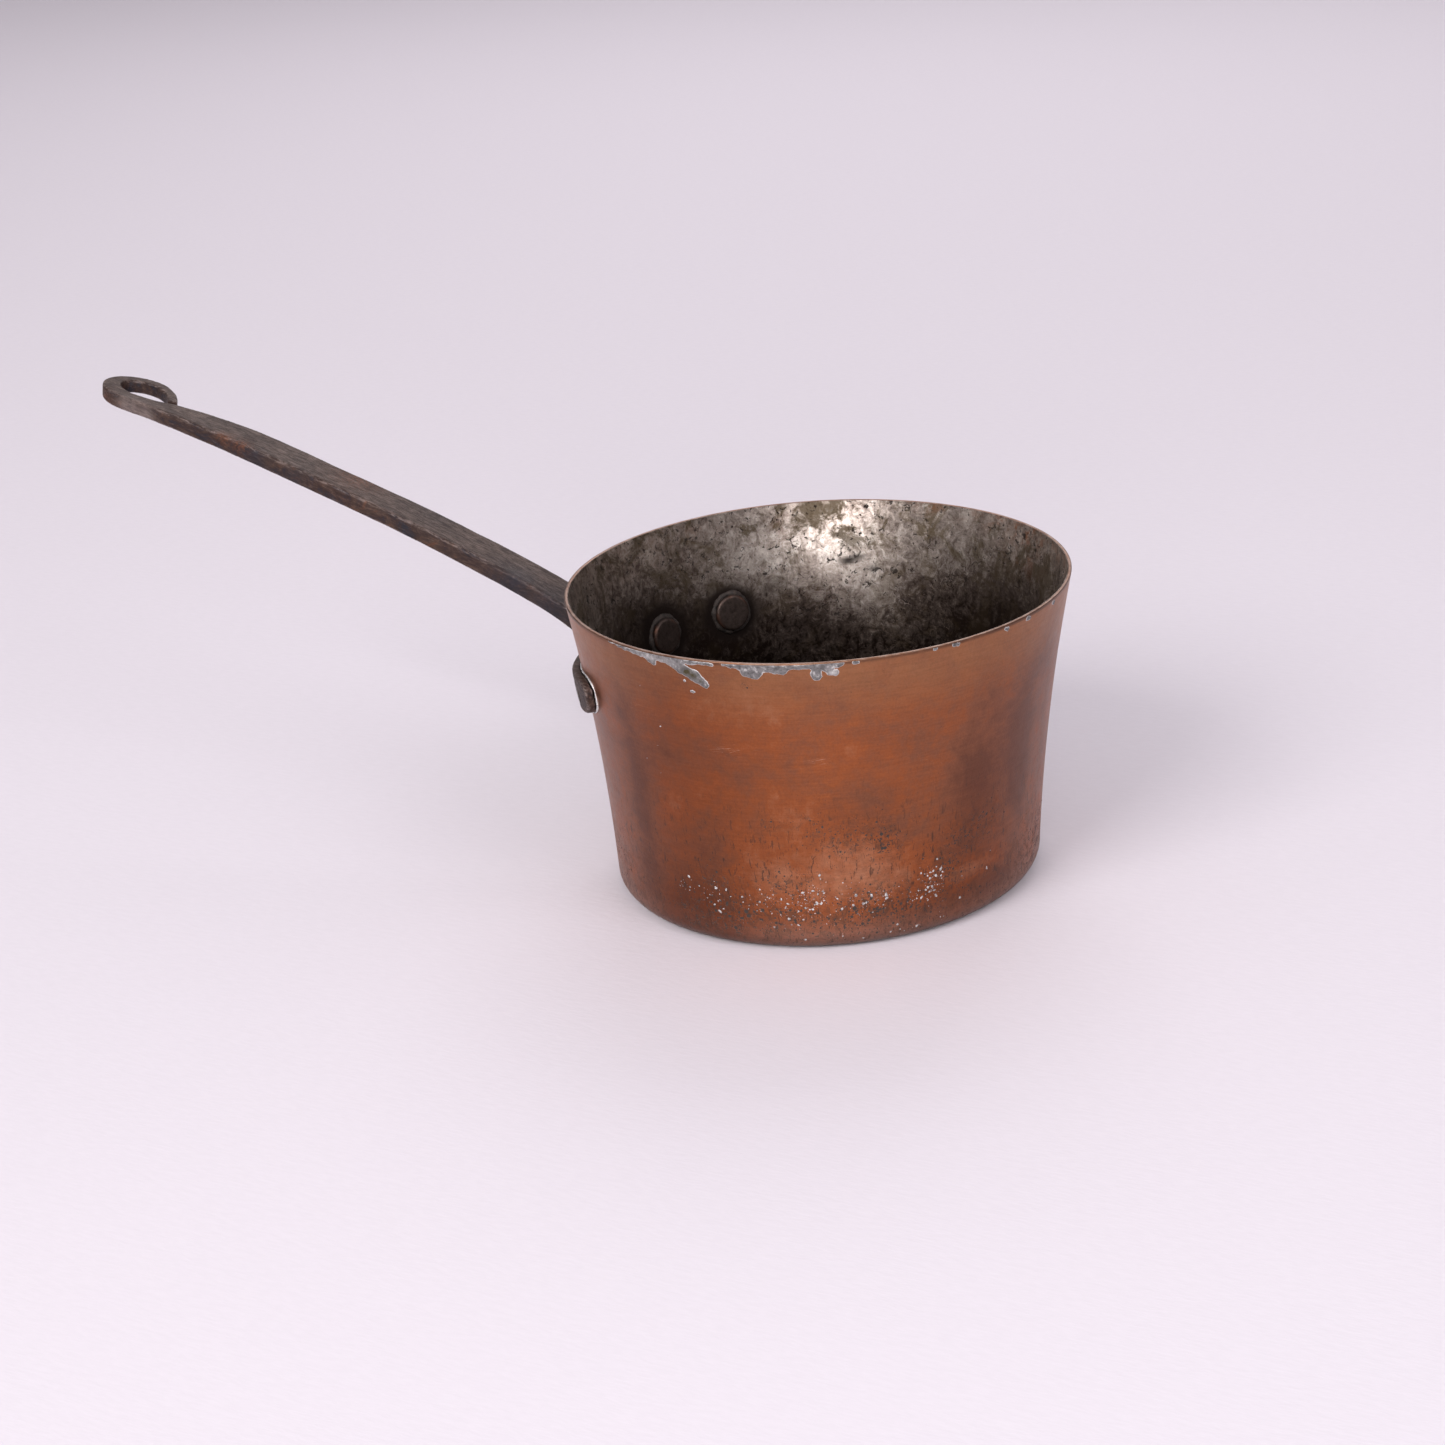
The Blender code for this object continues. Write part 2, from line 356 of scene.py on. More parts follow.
def in_scene(name: str, mesh: bpy.types.Mesh) -> bpy.types.Object:
    """Returns a new object of that mesh, linked to the scene."""
    piece = bpy.data.objects.new(name, mesh)
    bpy.context.collection.objects.link(piece)
    return piece


def line_mesh(name: str, points: Sequence[Sequence[float]], closed: bool = False) -> bpy.types.Mesh:
    """A mesh of points joined by edges.

    Args:
        name: The mesh's name.
        points: The points in their order.
        closed: Whether the last joins the first.

    Returns:
        The mesh.
    """
    mesh = bpy.data.meshes.new(name)
    edges = [(i, i + 1) for i in range(len(points) - 1)]
    if closed:
        edges.append((len(points) - 1, 0))
    mesh.from_pydata([tuple(p) for p in points], edges, [])
    return mesh


def hand_over(piece: bpy.types.Object, slot: Slot, *nodes: str) -> bpy.types.Object:
    """Puts a finished piece on the pan's body.

    Args:
        piece: The finished piece.
        slot: The record's slot that its finish belongs to.
        nodes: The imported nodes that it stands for.

    Returns:
        The piece.
    """
    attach(piece, "root")
    if nodes:
        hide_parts(*nodes)
    LOG.info("%s: %d faces, slot %s", piece.name, len(piece.data.polygons), slot.value)
    return piece


def smooth_step(value: np.ndarray | float) -> Any:
    """Eases a value from 0 to 1, and holds it there outside that range."""
    t = np.clip(value, 0.0, 1.0)
    return t * t * (3 - 2 * t)


# ---------------------------------------------------------------- the bowl's form


@dataclass(frozen=True)
class BowlShape:
    """The flaring, slightly oval bowl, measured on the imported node.

    The base's share is of the top radius, the flare's curve is how much of the flare comes late
    on the way up, and the ovality is a share of the radius, widest towards the oval axis.
    """

    height: float
    top_radius: float
    base_share: float = 0.8558
    wall: float = 1.3 * MM
    floor: float = 1.5 * MM
    corner: float = 5.7 * MM
    flare_curve: float = 0.65
    ovality: float = 0.03
    oval_axis: float = 69.0
    flat_steps: int = 12
    corner_steps: int = 10
    rim_steps: int = 10
    rim_squareness: float = 0.6

    @classmethod
    def from_frame(cls) -> "BowlShape":
        """Reads the height and the rim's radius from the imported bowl's box."""
        low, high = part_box("pan_body")
        unit = cls(1.0, 1.0)
        angles = np.radians(np.arange(0.0, 360.0, 0.5))
        reach = max(unit.out_of_round(angles) * np.cos(angles))
        return cls(high.z - low.z, (high.x - low.x) / 2 / float(reach))

    def out_of_round(self, angle: Any) -> Any:
        """How far the section is from a circle at an angle in radians, as a factor near 1."""
        return 1 + self.ovality * np.cos(2 * (angle - math.radians(self.oval_axis)))

    def radius(self, height: Any) -> Any:
        """The wall's mean outer radius at a height, before the bottom corner is rounded."""
        t = np.clip(height / self.height, 0.0, 1.0)
        base = self.top_radius * self.base_share
        curve = self.flare_curve
        return base + (self.top_radius - base) * ((1 - curve) * t + curve * t * t)

    def point(self, angle: float, height: float) -> Vector:
        """Returns the point of the wall's outer face at an angle in degrees and a height."""
        turn = math.radians(angle)
        reach = float(self.radius(height) * self.out_of_round(turn))
        return Vector((reach * math.cos(turn), reach * math.sin(turn), height))

    def stand(self, angle: float, height: float) -> Matrix:
        """A placing on the wall: Z points out of it, Y up it.

        Args:
            angle: Degrees round the bowl.
            height: Height above the base.

        Returns:
            The matrix.
        """
        along = self.point(angle + 0.5, height) - self.point(angle - 0.5, height)
        upward = self.point(angle, height + MM) - self.point(angle, height - MM)
        outward = along.cross(upward).normalized()
        axes = Matrix((along.normalized(), outward.cross(along).normalized(), outward))
        return Matrix.Translation(self.point(angle, height)) @ axes.transposed().to_4x4()

    def cup(self, insets: tuple[float, float], floors: tuple[float, float], top: float,
            rows: tuple[int, int], ease: float) -> Outline:
        """The section of a cup whose two faces follow the wall.

        Args:
            insets: How far the outer and the inner face lie inside the wall's outer face.
            floors: Height of the lower and the upper face of its floor.
            top: Height of its rim.
            rows: How many steps each face has up the wall.
            ease: How far down the rim's rounding reaches.

        Returns:
            Radius and height of each point, from the middle underneath to the middle inside.
        """
        faces = []
        for inset, lowest, steps in zip(insets, floors, rows):
            corner = self.corner - inset
            flat = float(self.radius(lowest)) - inset - corner
            face = [(flat * i / self.flat_steps, lowest) for i in range(self.flat_steps)]
            for i in range(self.corner_steps + 1):
                turn = math.pi / 2 * i / self.corner_steps
                level = lowest + corner * (1 - math.cos(turn))
                reach = float(self.radius(level)) - inset - corner * (1 - math.sin(turn))
                face.append((reach, level))
            start = face[-1][1]
            for i in range(1, steps + 1):
                level = start + (top - ease - start) * i / steps
                face.append((float(self.radius(level)) - inset, level))
            faces.append(face)
        middle = (faces[0][-1][0] + faces[1][-1][0]) / 2
        half = (faces[0][-1][0] - faces[1][-1][0]) / 2
        rim = []
        for i in range(1, self.rim_steps):
            turn = math.pi * i / self.rim_steps
            across = math.copysign(abs(math.cos(turn)) ** self.rim_squareness, math.cos(turn))
            rise = math.sin(turn) ** self.rim_squareness
            rim.append((middle + half * across, top - ease + ease * rise))
        return faces[0] + rim + faces[1][::-1]


@dataclass(frozen=True)
class Patch:
    """A soft-edged place on the wall; all but the angle and the amount are in millimetres."""

    angle: float
    height: float
    across: float
    tall: float
    amount: float = 1.0


def cover(points: np.ndarray, patches: Sequence[Patch]) -> np.ndarray:
    """How strongly patches cover points on or near the wall.

    Args:
        points: The points, one to a row.
        patches: The patches, which add up.

    Returns:
        One number for each point.
    """
    angle = np.degrees(np.arctan2(points[:, 1], points[:, 0]))
    reach = np.hypot(points[:, 0], points[:, 1])
    total = np.zeros(len(points))
    for patch in patches:
        swing = (angle - patch.angle + 180) % 360 - 180
        aside = np.radians(swing) * reach / (patch.across * MM)
        above = (points[:, 2] / MM - patch.height) / patch.tall
        total += patch.amount * np.exp(-aside ** 2 - above ** 2)
    return total


def vertices(mesh: bpy.types.Mesh, source: str = "vertices") -> np.ndarray:
    """Returns a mesh's points, or with source "normals" their normals, one to a row."""
    found = mesh.vertices if source == "vertices" else mesh.vertex_normals
    values = np.empty(len(mesh.vertices) * 3)
    found.foreach_get("co" if source == "vertices" else "vector", values)
    return values.reshape(-1, 3)


def paint(mesh: bpy.types.Mesh, name: str, values: np.ndarray) -> None:
    """Stores a number on each of a mesh's points.

    Args:
        mesh: The mesh.
        name: The number's name, which materials and trees read.
        values: One number for each point.
    """
    layer = mesh.attributes.new(name, "FLOAT", "POINT")
    layer.data.foreach_set("value", values.astype(np.float32))


# ---------------------------------------------------------------- Geometry Nodes trees


class TurnedForm(ShapeTree):
    """Turns a section round the Z axis and knocks it a little out of round and out of true."""

    def __init__(self) -> None:
        """Builds the tree."""
        super().__init__("turned_form", {
            "Section": bpy.types.Object, "Rows": int, "Sides": int, "Ovality": float,
            "Oval Axis": float, "Unevenness": float, "Lump Size": float, "Seed": float})
        given = self.given
        columns = self.calc("ADD", given["Sides"], 1)
        grid = self.add("GeometryNodeMeshGrid", {
            "Size X": 1.0, "Size Y": 1.0, "Vertices X": columns, "Vertices Y": given["Rows"]})
        here = self.add("GeometryNodeInputPosition").outputs[0]
        across, along, _ = self.add("ShaderNodeSeparateXYZ", {0: here}).outputs
        turn = self.calc("MULTIPLY", self.calc("ADD", across, 0.5), math.tau)
        last = self.calc("SUBTRACT", given["Rows"], 1)
        row = self.calc("ROUND", self.calc("MULTIPLY", self.calc("ADD", along, 0.5), last))
        section = self.add("GeometryNodeObjectInfo", {"Object": given["Section"]})
        sample = self.add("GeometryNodeSampleIndex", {"Geometry": section.outputs["Geometry"]},
                          data_type="FLOAT_VECTOR", domain="POINT")
        self.feed(next(s for s in sample.inputs if s.name == "Value" and s.enabled), here)
        self.feed(sample.inputs["Index"], row)
        found = next(s for s in sample.outputs if s.enabled)
        radius, _, height = self.add("ShaderNodeSeparateXYZ", {0: found}).outputs
        swing = self.calc("MULTIPLY", self.calc("SUBTRACT", turn, given["Oval Axis"]), 2.0)
        oval = self.calc("MULTIPLY_ADD", self.calc("COSINE", swing), given["Ovality"], 1.0)
        reach = self.calc("MULTIPLY", radius, oval)
        place = self.spot(reach, turn, height)
        lumps = self.add("ShaderNodeTexNoise", {
            "Vector": place, "W": given["Seed"], "Detail": 1.0,
            "Scale": self.calc("DIVIDE", 1.0, given["Lump Size"])}, noise_dimensions="4D")
        sunk = self.calc("MULTIPLY", self.calc("SUBTRACT", lumps.outputs[0], 1.0),
                         given["Unevenness"])
        pull = self.calc("MINIMUM", self.calc("MULTIPLY", radius, 50.0), 1.0)
        reach = self.calc("MULTIPLY_ADD", sunk, pull, reach)
        moved = self.add("GeometryNodeSetPosition", {
            "Geometry": grid.outputs["Mesh"], "Position": self.spot(reach, turn, height)})
        self.close(self.add("GeometryNodeMergeByDistance", {
            "Geometry": moved.outputs[0], "Distance": 1e-6}).outputs[0])

    def spot(self, reach: Any, turn: Any, height: Any) -> Any:
        """Returns the point at a distance from the axis, an angle in radians and a height."""
        values = {"X": self.calc("MULTIPLY", reach, self.calc("COSINE", turn)),
                  "Y": self.calc("MULTIPLY", reach, self.calc("SINE", turn)), "Z": height}
        return self.add("ShaderNodeCombineXYZ", values).outputs[0]

    def make(self, name: str, section: Outline, material: bpy.types.Material, sides: int,
             shape: BowlShape | None = None, unevenness: float = 0.0, lump: float = 0.03,
             seed: float = 0.0) -> bpy.types.Object:
        """Turns one section.

        Args:
            name: The piece's name.
            section: Radius and height of its points, outer face first, going up.
            material: Its finish.
            sides: How many steps it has round the axis.
            shape: The bowl whose ovality it follows, if any.
            unevenness: How far its wall sinks at most.
            lump: How far apart the unevenness's lumps are.
            seed: What picks them.

        Returns:
            The piece.
        """
        guide = in_scene(f"{name}_section", line_mesh(f"{name}_section",
                                                      [(r, 0.0, h) for r, h in section]))
        piece = self.run(name, Section=guide, Rows=len(section), Sides=sides,
                         Ovality=shape.ovality if shape else 0.0,
                         Oval_Axis=math.radians(shape.oval_axis) if shape else 0.0,
                         Unevenness=unevenness, Lump_Size=lump, Seed=seed, Material=material)
        bpy.data.objects.remove(guide, do_unlink=True)
        return piece


class Scatter(ShapeTree):
    """Scatters small lumps over a surface, where a number stored on it says."""

    def __init__(self, layer: str) -> None:
        """Builds the tree.

        Args:
            layer: The stored number that thins out or thickens the lumps.
        """
        super().__init__(f"scatter_by_{layer}", {
            "Lump": bpy.types.Object, "Density": float, "Smallest": float, "Largest": float,
            "Flatness": float, "Seed": int})
        given = self.given
        thick = self.add("GeometryNodeInputNamedAttribute", {"Name": layer}, data_type="FLOAT")
        points = self.add("GeometryNodeDistributePointsOnFaces", {
            "Mesh": given["Geometry"], "Seed": given["Seed"],
            "Density": self.calc("MULTIPLY", thick.outputs[0], given["Density"])})
        chance = self.pick(0.0, 1.0, given["Seed"])
        share = self.calc("POWER", chance, 4.0)
        spread = self.calc("SUBTRACT", given["Largest"], given["Smallest"])
        size = self.calc("MULTIPLY_ADD", share, spread, given["Smallest"])
        wide = self.calc("MULTIPLY", size, self.pick(0.6, 1.9, self.calc("ADD", given["Seed"], 1)))
        scale = self.add("ShaderNodeCombineXYZ", {
            "X": wide, "Y": size, "Z": self.calc("MULTIPLY", size, given["Flatness"])})
        spin = self.pick(0.0, math.tau, self.calc("ADD", given["Seed"], 2))
        about = self.add("ShaderNodeCombineXYZ", {"Z": spin}).outputs[0]
        turned = self.add("FunctionNodeRotateRotation", {
            "Rotation": points.outputs["Rotation"], "Rotate By": about}, rotation_space="LOCAL")
        lump = self.add("GeometryNodeObjectInfo", {"Object": given["Lump"]})
        self.close(self.add("GeometryNodeInstanceOnPoints", {
            "Points": points.outputs["Points"], "Instance": lump.outputs["Geometry"],
            "Rotation": turned.outputs[0], "Scale": scale.outputs[0]}).outputs[0])

    def pick(self, low: float, high: float, seed: Any) -> Any:
        """Returns a random number between two for each lump."""
        node = self.add("FunctionNodeRandomValue", data_type="FLOAT")
        values = [s for s in node.inputs if s.enabled]
        self.feed(next(s for s in values if s.name == "Min"), low)
        self.feed(next(s for s in values if s.name == "Max"), high)
        self.feed(next(s for s in values if s.name == "Seed"), seed)
        return next(s for s in node.outputs if s.enabled)


class RunningBead(ShapeTree):
    """Runs an uneven bead along the lines of a mesh."""

    def __init__(self) -> None:
        """Builds the tree."""
        super().__init__("running_bead", {
            "Thinnest": float, "Thickest": float, "Lump Size": float, "Sides": int,
            "Seed": float})
        given = self.given
        path = self.add("GeometryNodeMeshToCurve", {"Mesh": given["Geometry"]}).outputs[0]
        here = self.add("GeometryNodeInputPosition").outputs[0]
        lumps = self.add("ShaderNodeTexNoise", {
            "Vector": here, "W": given["Seed"], "Detail": 3.0,
            "Scale": self.calc("DIVIDE", 1.0, given["Lump Size"])}, noise_dimensions="4D")
        share = self.span(lumps.outputs[0], 0.3, 0.7)
        spread = self.calc("SUBTRACT", given["Thickest"], given["Thinnest"])
        size = self.calc("MULTIPLY_ADD", share, spread, given["Thinnest"])
        ring = self.add("GeometryNodeCurvePrimitiveCircle", {
            "Resolution": given["Sides"], "Radius": 1.0}).outputs[0]
        self.close(self.add("GeometryNodeCurveToMesh", {
            "Curve": path, "Profile Curve": ring, "Scale": size, "Fill Caps": True}).outputs[0])


class RivetRow(ShapeTree):
    """Sets a copy of one rivet on each point of a mesh, turned as stored numbers say."""

    def __init__(self) -> None:
        """Builds the tree."""
        super().__init__("rivet_row", {"Rivet": bpy.types.Object, "Size Spread": float,
                                       "Seed": int})
        given = self.given
        points = self.add("GeometryNodeMeshToPoints", {"Mesh": given["Geometry"]}).outputs[0]
        turn = self.add("GeometryNodeInputNamedAttribute", {"Name": "turn"},
                        data_type="FLOAT_VECTOR").outputs[0]
        chance = self.add("FunctionNodeRandomValue", {"Seed": given["Seed"]}, data_type="FLOAT")
        found = next(s for s in chance.outputs if s.enabled)
        size = self.calc("SUBTRACT", 1.0, self.calc("MULTIPLY", found, given["Size Spread"]))
        rivet = self.add("GeometryNodeObjectInfo", {"Object": given["Rivet"]})
        self.close(self.add("GeometryNodeInstanceOnPoints", {
            "Points": points, "Instance": rivet.outputs["Geometry"], "Rotation": turn,
            "Scale": size}).outputs[0])


class ForgeMarks(ShapeTree):
    """Works hammer facets, a rough skin and small pits into a surface, all of them inwards."""

    def __init__(self) -> None:
        """Builds the tree."""
        super().__init__("forge_marks", {
            "Facet Depth": float, "Facet Size": float, "Skin Depth": float, "Skin Size": float})
        given = self.given
        here = self.add("GeometryNodeInputPosition").outputs[0]
        facets = self.lumps(here, given["Facet Size"], 1.0)
        skin = self.lumps(here, given["Skin Size"], 4.0)
        deep = self.calc("MULTIPLY", self.calc("SUBTRACT", facets, 1.0), given["Facet Depth"])
        fine = self.calc("MULTIPLY", self.calc("SUBTRACT", skin, 1.0), given["Skin Depth"])
        normal = self.add("GeometryNodeInputNormal").outputs[0]
        offset = self.vector("SCALE", normal, (0, 0, 0), (0, 0, 0), self.calc("ADD", deep, fine))
        self.close(self.add("GeometryNodeSetPosition", {
            "Geometry": given["Geometry"], "Offset": offset}).outputs[0])

    def lumps(self, here: Any, size: Any, detail: float) -> Any:
        """Returns noise of a size given by a socket."""
        inputs = {"Vector": here, "Detail": detail, "Scale": self.calc("DIVIDE", 1.0, size)}
        return self.add("ShaderNodeTexNoise", inputs).outputs[0]


# ---------------------------------------------------------------- finishes


@dataclass(frozen=True)
class WornCopper:
    """Old kitchen copper: ruddy and plum tarnish, fine brushing, burnt pits, a rubbed rim, painted
    shade and a painted shadow under the lip.
    """

    plum: Colour = (0.172, 0.072, 0.045)
    brown: Colour = (0.258, 0.102, 0.056)
    ruddy: Colour = (0.355, 0.108, 0.041)
    bright: Colour = (0.480, 0.215, 0.120)
    under_rim: Colour = (0.335, 0.158, 0.080)
    ashen: Colour = (0.330, 0.215, 0.175)
    # painted shade: the deep ruddy colour that the dusky places are mixed towards
    shadow: Colour = (0.115, 0.030, 0.014)
    bare: Colour = (0.24, 0.155, 0.120)
    scratch: Colour = (0.62, 0.38, 0.27)
    # painted shadow colour for the dark line under the rim
    lip_shadow: Colour = (0.085, 0.045, 0.032)
    burnt: Colour = (0.030, 0.021, 0.018)
    sooty: Colour = (0.075, 0.048, 0.038)

    def material(self) -> bpy.types.Material:
        """Builds the material; it reads the painted ruddiness, grime, dusk and scratches."""
        f = Finish("worn_copper")
        height = f.add("ShaderNodeSeparateXYZ", {0: f.place}).outputs[2]
        grime = f.painted("grime")
        clouds = f.grain(0.027, f.place, 7.0, 0.64, 0.6)
        mottle = f.grain(0.0040, f.place, 7.0, 0.68, 0.3)
        brushed = f.grain(0.00075, f.stretched((0.06, 0.06, 1)), 5.0, 0.65, 0.4)
        grit = f.grain(0.0007, f.place, 3.0, 0.6)
        tone = f.calc("MULTIPLY_ADD", clouds, 0.62, 0.035)
        tone = f.calc("MULTIPLY_ADD", mottle, 0.42, f.calc("SUBTRACT", tone, 0.06))
        tone = f.calc("MULTIPLY_ADD", f.painted("ruddiness"), 0.31, tone)
        colour = f.ramp(tone, ((0.28, self.plum), (0.44, self.brown), (0.62, self.ruddy),
                               (0.88, self.bright)))
        near_rim = f.calc("MULTIPLY", f.span(height, 0.074, 0.099),
                          f.span(clouds, 0.3, 0.6, 0.25, 0.75))
        colour = f.mix(near_rim, colour, self.under_rim)
        colour = f.mix(f.span(height, 0.002, 0.014, 0.55, 0.0), colour, self.ashen)
        colour = f.shade(colour, f.span(brushed, 0.3, 0.7, 0.93, 1.06))
        colour = f.shade(colour, f.span(grit, 0.3, 0.7, 0.94, 1.05))
        # painted shade: dusky places are mixed towards a deep ruddy shadow colour; they are partly
        # darker tarnish and partly shade painted in
        colour = f.mix(f.painted("dusk"), colour, self.shadow)
        smoke = f.calc("MULTIPLY", grime,
                       f.span(f.grain(0.0038, f.place, 8.0, 0.74, 0.8), 0.44, 0.62, 0.0, 0.62))
        low = f.span(height, 0.0005, 0.007, 0.40, 0.0)
        colour = f.mix(f.calc("MAXIMUM", smoke, low), colour, self.sooty)
        streaks = f.grain(0.0009, f.stretched((1, 1, 0.22)), 4.0, 0.7, 0.6)
        flecks = f.calc("MULTIPLY", f.span(streaks, 0.575, 0.63),
                        f.span(height, 0.030, 0.062, 0.75, 0.10))
        colour = f.mix(flecks, colour, self.sooty)
        lines = f.grain(0.0016, f.stretched((0.05, 0.05, 1), (5, 11, 0)), 1.0, 0.5, 1.6)
        hairs = f.calc("SUBTRACT", 1.0, f.calc("MULTIPLY", f.calc("ABSOLUTE", f.calc(
            "SUBTRACT", lines, 0.5)), 90.0))
        scratched = f.calc("MULTIPLY", f.calc("MAXIMUM", hairs, 0.0), f.painted("scratched"))
        scratched = f.calc("MULTIPLY", scratched, f.span(mottle, 0.38, 0.56))
        colour = f.mix(scratched, colour, self.scratch)
        pits = self.pits(f, grime)
        colour = f.mix(pits, colour, self.burnt)
        # painted shadow: a dark line just under the rim
        lip_shadow = f.calc("MULTIPLY", f.span(height, 0.1002, 0.1011),
                        f.span(clouds, 0.35, 0.6, 0.25, 0.8))
        colour = f.mix(lip_shadow, colour, self.lip_shadow)
        rubbed = f.calc("MULTIPLY", f.span(height, 0.1013, 0.1016),
                        f.span(mottle, 0.38, 0.60, 0.10, 1.0))
        colour = f.mix(rubbed, colour, self.bare)
        under = f.calc("MULTIPLY", f.span(height, 0.0, 0.0012, 1.0, 0.0),
                       f.span(clouds, 0.3, 0.55, 0.4, 0.95))
        colour = f.mix(under, colour, self.sooty)
        roughness = f.calc("MULTIPLY_ADD", mottle, 0.22, 0.27)
        roughness = f.calc("MULTIPLY_ADD", f.calc("MAXIMUM", pits, smoke), 0.3, roughness)
        metallic = f.calc("MULTIPLY_ADD", f.calc("MAXIMUM", pits, under), -0.75, 1.0)
        relief = f.calc("MULTIPLY_ADD", pits, -0.9, f.calc("MULTIPLY_ADD", brushed, 0.5, grit))
        return f.dress(colour, roughness, metallic, relief, 0.035 * MM)

    def pits(self, f: Finish, grime: Any) -> Any:
        """Burnt pin-holes in three sizes, more and bigger where there is grime."""
        size = f.grain(0.003, f.place, 2.0)
        found = f.calc("MULTIPLY", f.span(f.grain(0.0013, f.place, 4.0, 0.7, 0.6), 0.58, 0.63),
                       f.span(grime, 0.25, 0.9))
        for apart, reach in ((0.0030, 0.34), (0.0013, 0.40)):
            edge = f.calc("MULTIPLY", f.calc("MULTIPLY", grime, size), reach)
            inside = f.calc("SUBTRACT", f.cells(apart, f.place), edge)
            found = f.calc("MAXIMUM", found, f.span(inside, -0.02, 0.05, 1.0, 0.0))
        return found


@dataclass(frozen=True)
class WipedTin:
    """A hand-wiped tin lining: painted bright at the top and darker further down as painted shade,
    grey with burnt-on dirt lower, with stains and a painted highlight.
    """

    dark: Colour = (0.021, 0.0125, 0.0095)
    dull: Colour = (0.128, 0.097, 0.083)
    grey: Colour = (0.390, 0.328, 0.294)
    light: Colour = (0.75, 0.68, 0.63)
    olive: Colour = (0.080, 0.056, 0.030)
    rust: Colour = (0.13, 0.055, 0.028)
    # dark colour for burnt-on dirt, also used for painted shade low in the pan and on the side walls
    crust: Colour = (0.0100, 0.0058, 0.0045)

    def material(self) -> bpy.types.Material:
        """Builds the material; it reads the painted highlight and shade, the rust, and the burnt-on
        dirt with its painted shade.
        """
        f = Finish("wiped_tin")
        height = f.add("ShaderNodeSeparateXYZ", {0: f.place}).outputs[2]
        clouds = f.grain(0.022, f.place, 6.0, 0.62, 0.6)
        mottle = f.grain(0.0042, f.place, 9.0, 0.74, 1.2)
        fine = f.grain(0.0013, f.place, 5.0, 0.7, 0.8)
        smears = f.grain(0.0022, f.stretched((1, 1, 0.22)), 5.0, 0.7)
        tone = f.calc("MULTIPLY_ADD", mottle, 1.15, -0.80)
        tone = f.calc("MULTIPLY_ADD", fine, 0.50, tone)
        tone = f.calc("MULTIPLY_ADD", smears, 0.30, tone)
        tone = f.calc("MULTIPLY_ADD", clouds, 0.50, tone)
        # painted shade: the tone falls towards the bottom of the inside
        tone = f.calc("ADD", tone, f.span(height, 0.045, 0.085, -0.26, 0.11))
        # painted highlight and shade, partly cleaner tin: lightens the far wall where it catches the
        # light and darkens the side walls
        tone = f.calc("MULTIPLY_ADD", f.painted("gleam"), 0.26, tone)
        colour = f.ramp(tone, ((0.10, self.dark), (0.34, self.dull), (0.58, self.grey),
                               (0.85, self.light)))
        stains = f.calc("MULTIPLY", f.span(f.grain(0.013, f.place, 8.0, 0.74, 0.6), 0.47, 0.60),
                        f.span(height, 0.055, 0.096, 0.25, 0.85))
        colour = f.mix(stains, colour, self.olive)
        rusty = f.calc("MULTIPLY", f.painted("rust"),
                       f.span(f.grain(0.006, f.place, 6.0, 0.7), 0.46, 0.60, 0.0, 0.9))
        colour = f.mix(rusty, colour, self.rust)
        where = f.span(f.grain(0.010, f.place, 4.0, 0.6), 0.40, 0.62, 0.0, 0.065)
        spots = f.span(f.calc("ADD", f.grain(0.0021, f.place, 4.0, 0.66, 1.0), where),
                       0.615, 0.665)
        # burnt-on dirt round the rivets and marks, with painted shade towards the floor and on the
        # side walls
        crust = f.calc("MULTIPLY", f.painted("crust"), f.span(mottle, 0.25, 0.5, 0.8, 1.0))
        dirt = f.calc("MAXIMUM", f.calc("MULTIPLY", spots, 0.9), crust)
        colour = f.mix(dirt, colour, self.crust)
        roughness = f.calc("MULTIPLY_ADD", f.calc("MAXIMUM", stains, dirt), 0.28, 0.33)
        metallic = f.calc("MULTIPLY_ADD", f.calc("MAXIMUM", rusty, dirt), -0.7, 0.95)
        relief = f.calc("MULTIPLY_ADD", spots, -0.4, f.calc("MULTIPLY_ADD", smears, 0.4, mottle))
        return f.dress(colour, roughness, metallic, relief, 0.12 * MM, 0.12)


@dataclass(frozen=True)
class SplashedTin:
    """Tin that ran over the rim: dull grey, with a pale outline and a little dross."""

    inner: Colour = (0.085, 0.078, 0.078)
    middle: Colour = (0.190, 0.180, 0.182)
    pale: Colour = (0.70, 0.67, 0.66)
    dross: Colour = (0.055, 0.043, 0.018)

    def material(self) -> bpy.types.Material:
        """Builds the material; it reads the painted outline and dross."""
        f = Finish("splashed_tin")
        mottle = f.grain(0.0016, f.place, 5.0, 0.65)
        colour = f.ramp(mottle, ((0.38, self.inner), (0.58, self.middle), (0.78, self.pale)))
        outline = f.calc("MULTIPLY", f.painted("outline"), f.span(mottle, 0.3, 0.5, 0.55, 1.0))
        colour = f.mix(outline, colour, self.pale)
        dross = f.calc("MULTIPLY", f.painted("dross"), f.span(mottle, 0.40, 0.52))
        colour = f.mix(dross, colour, self.dross)
        return f.dress(colour, f.span(mottle, 0.3, 0.7, 0.42, 0.6), 0.55, mottle, 0.08 * MM)


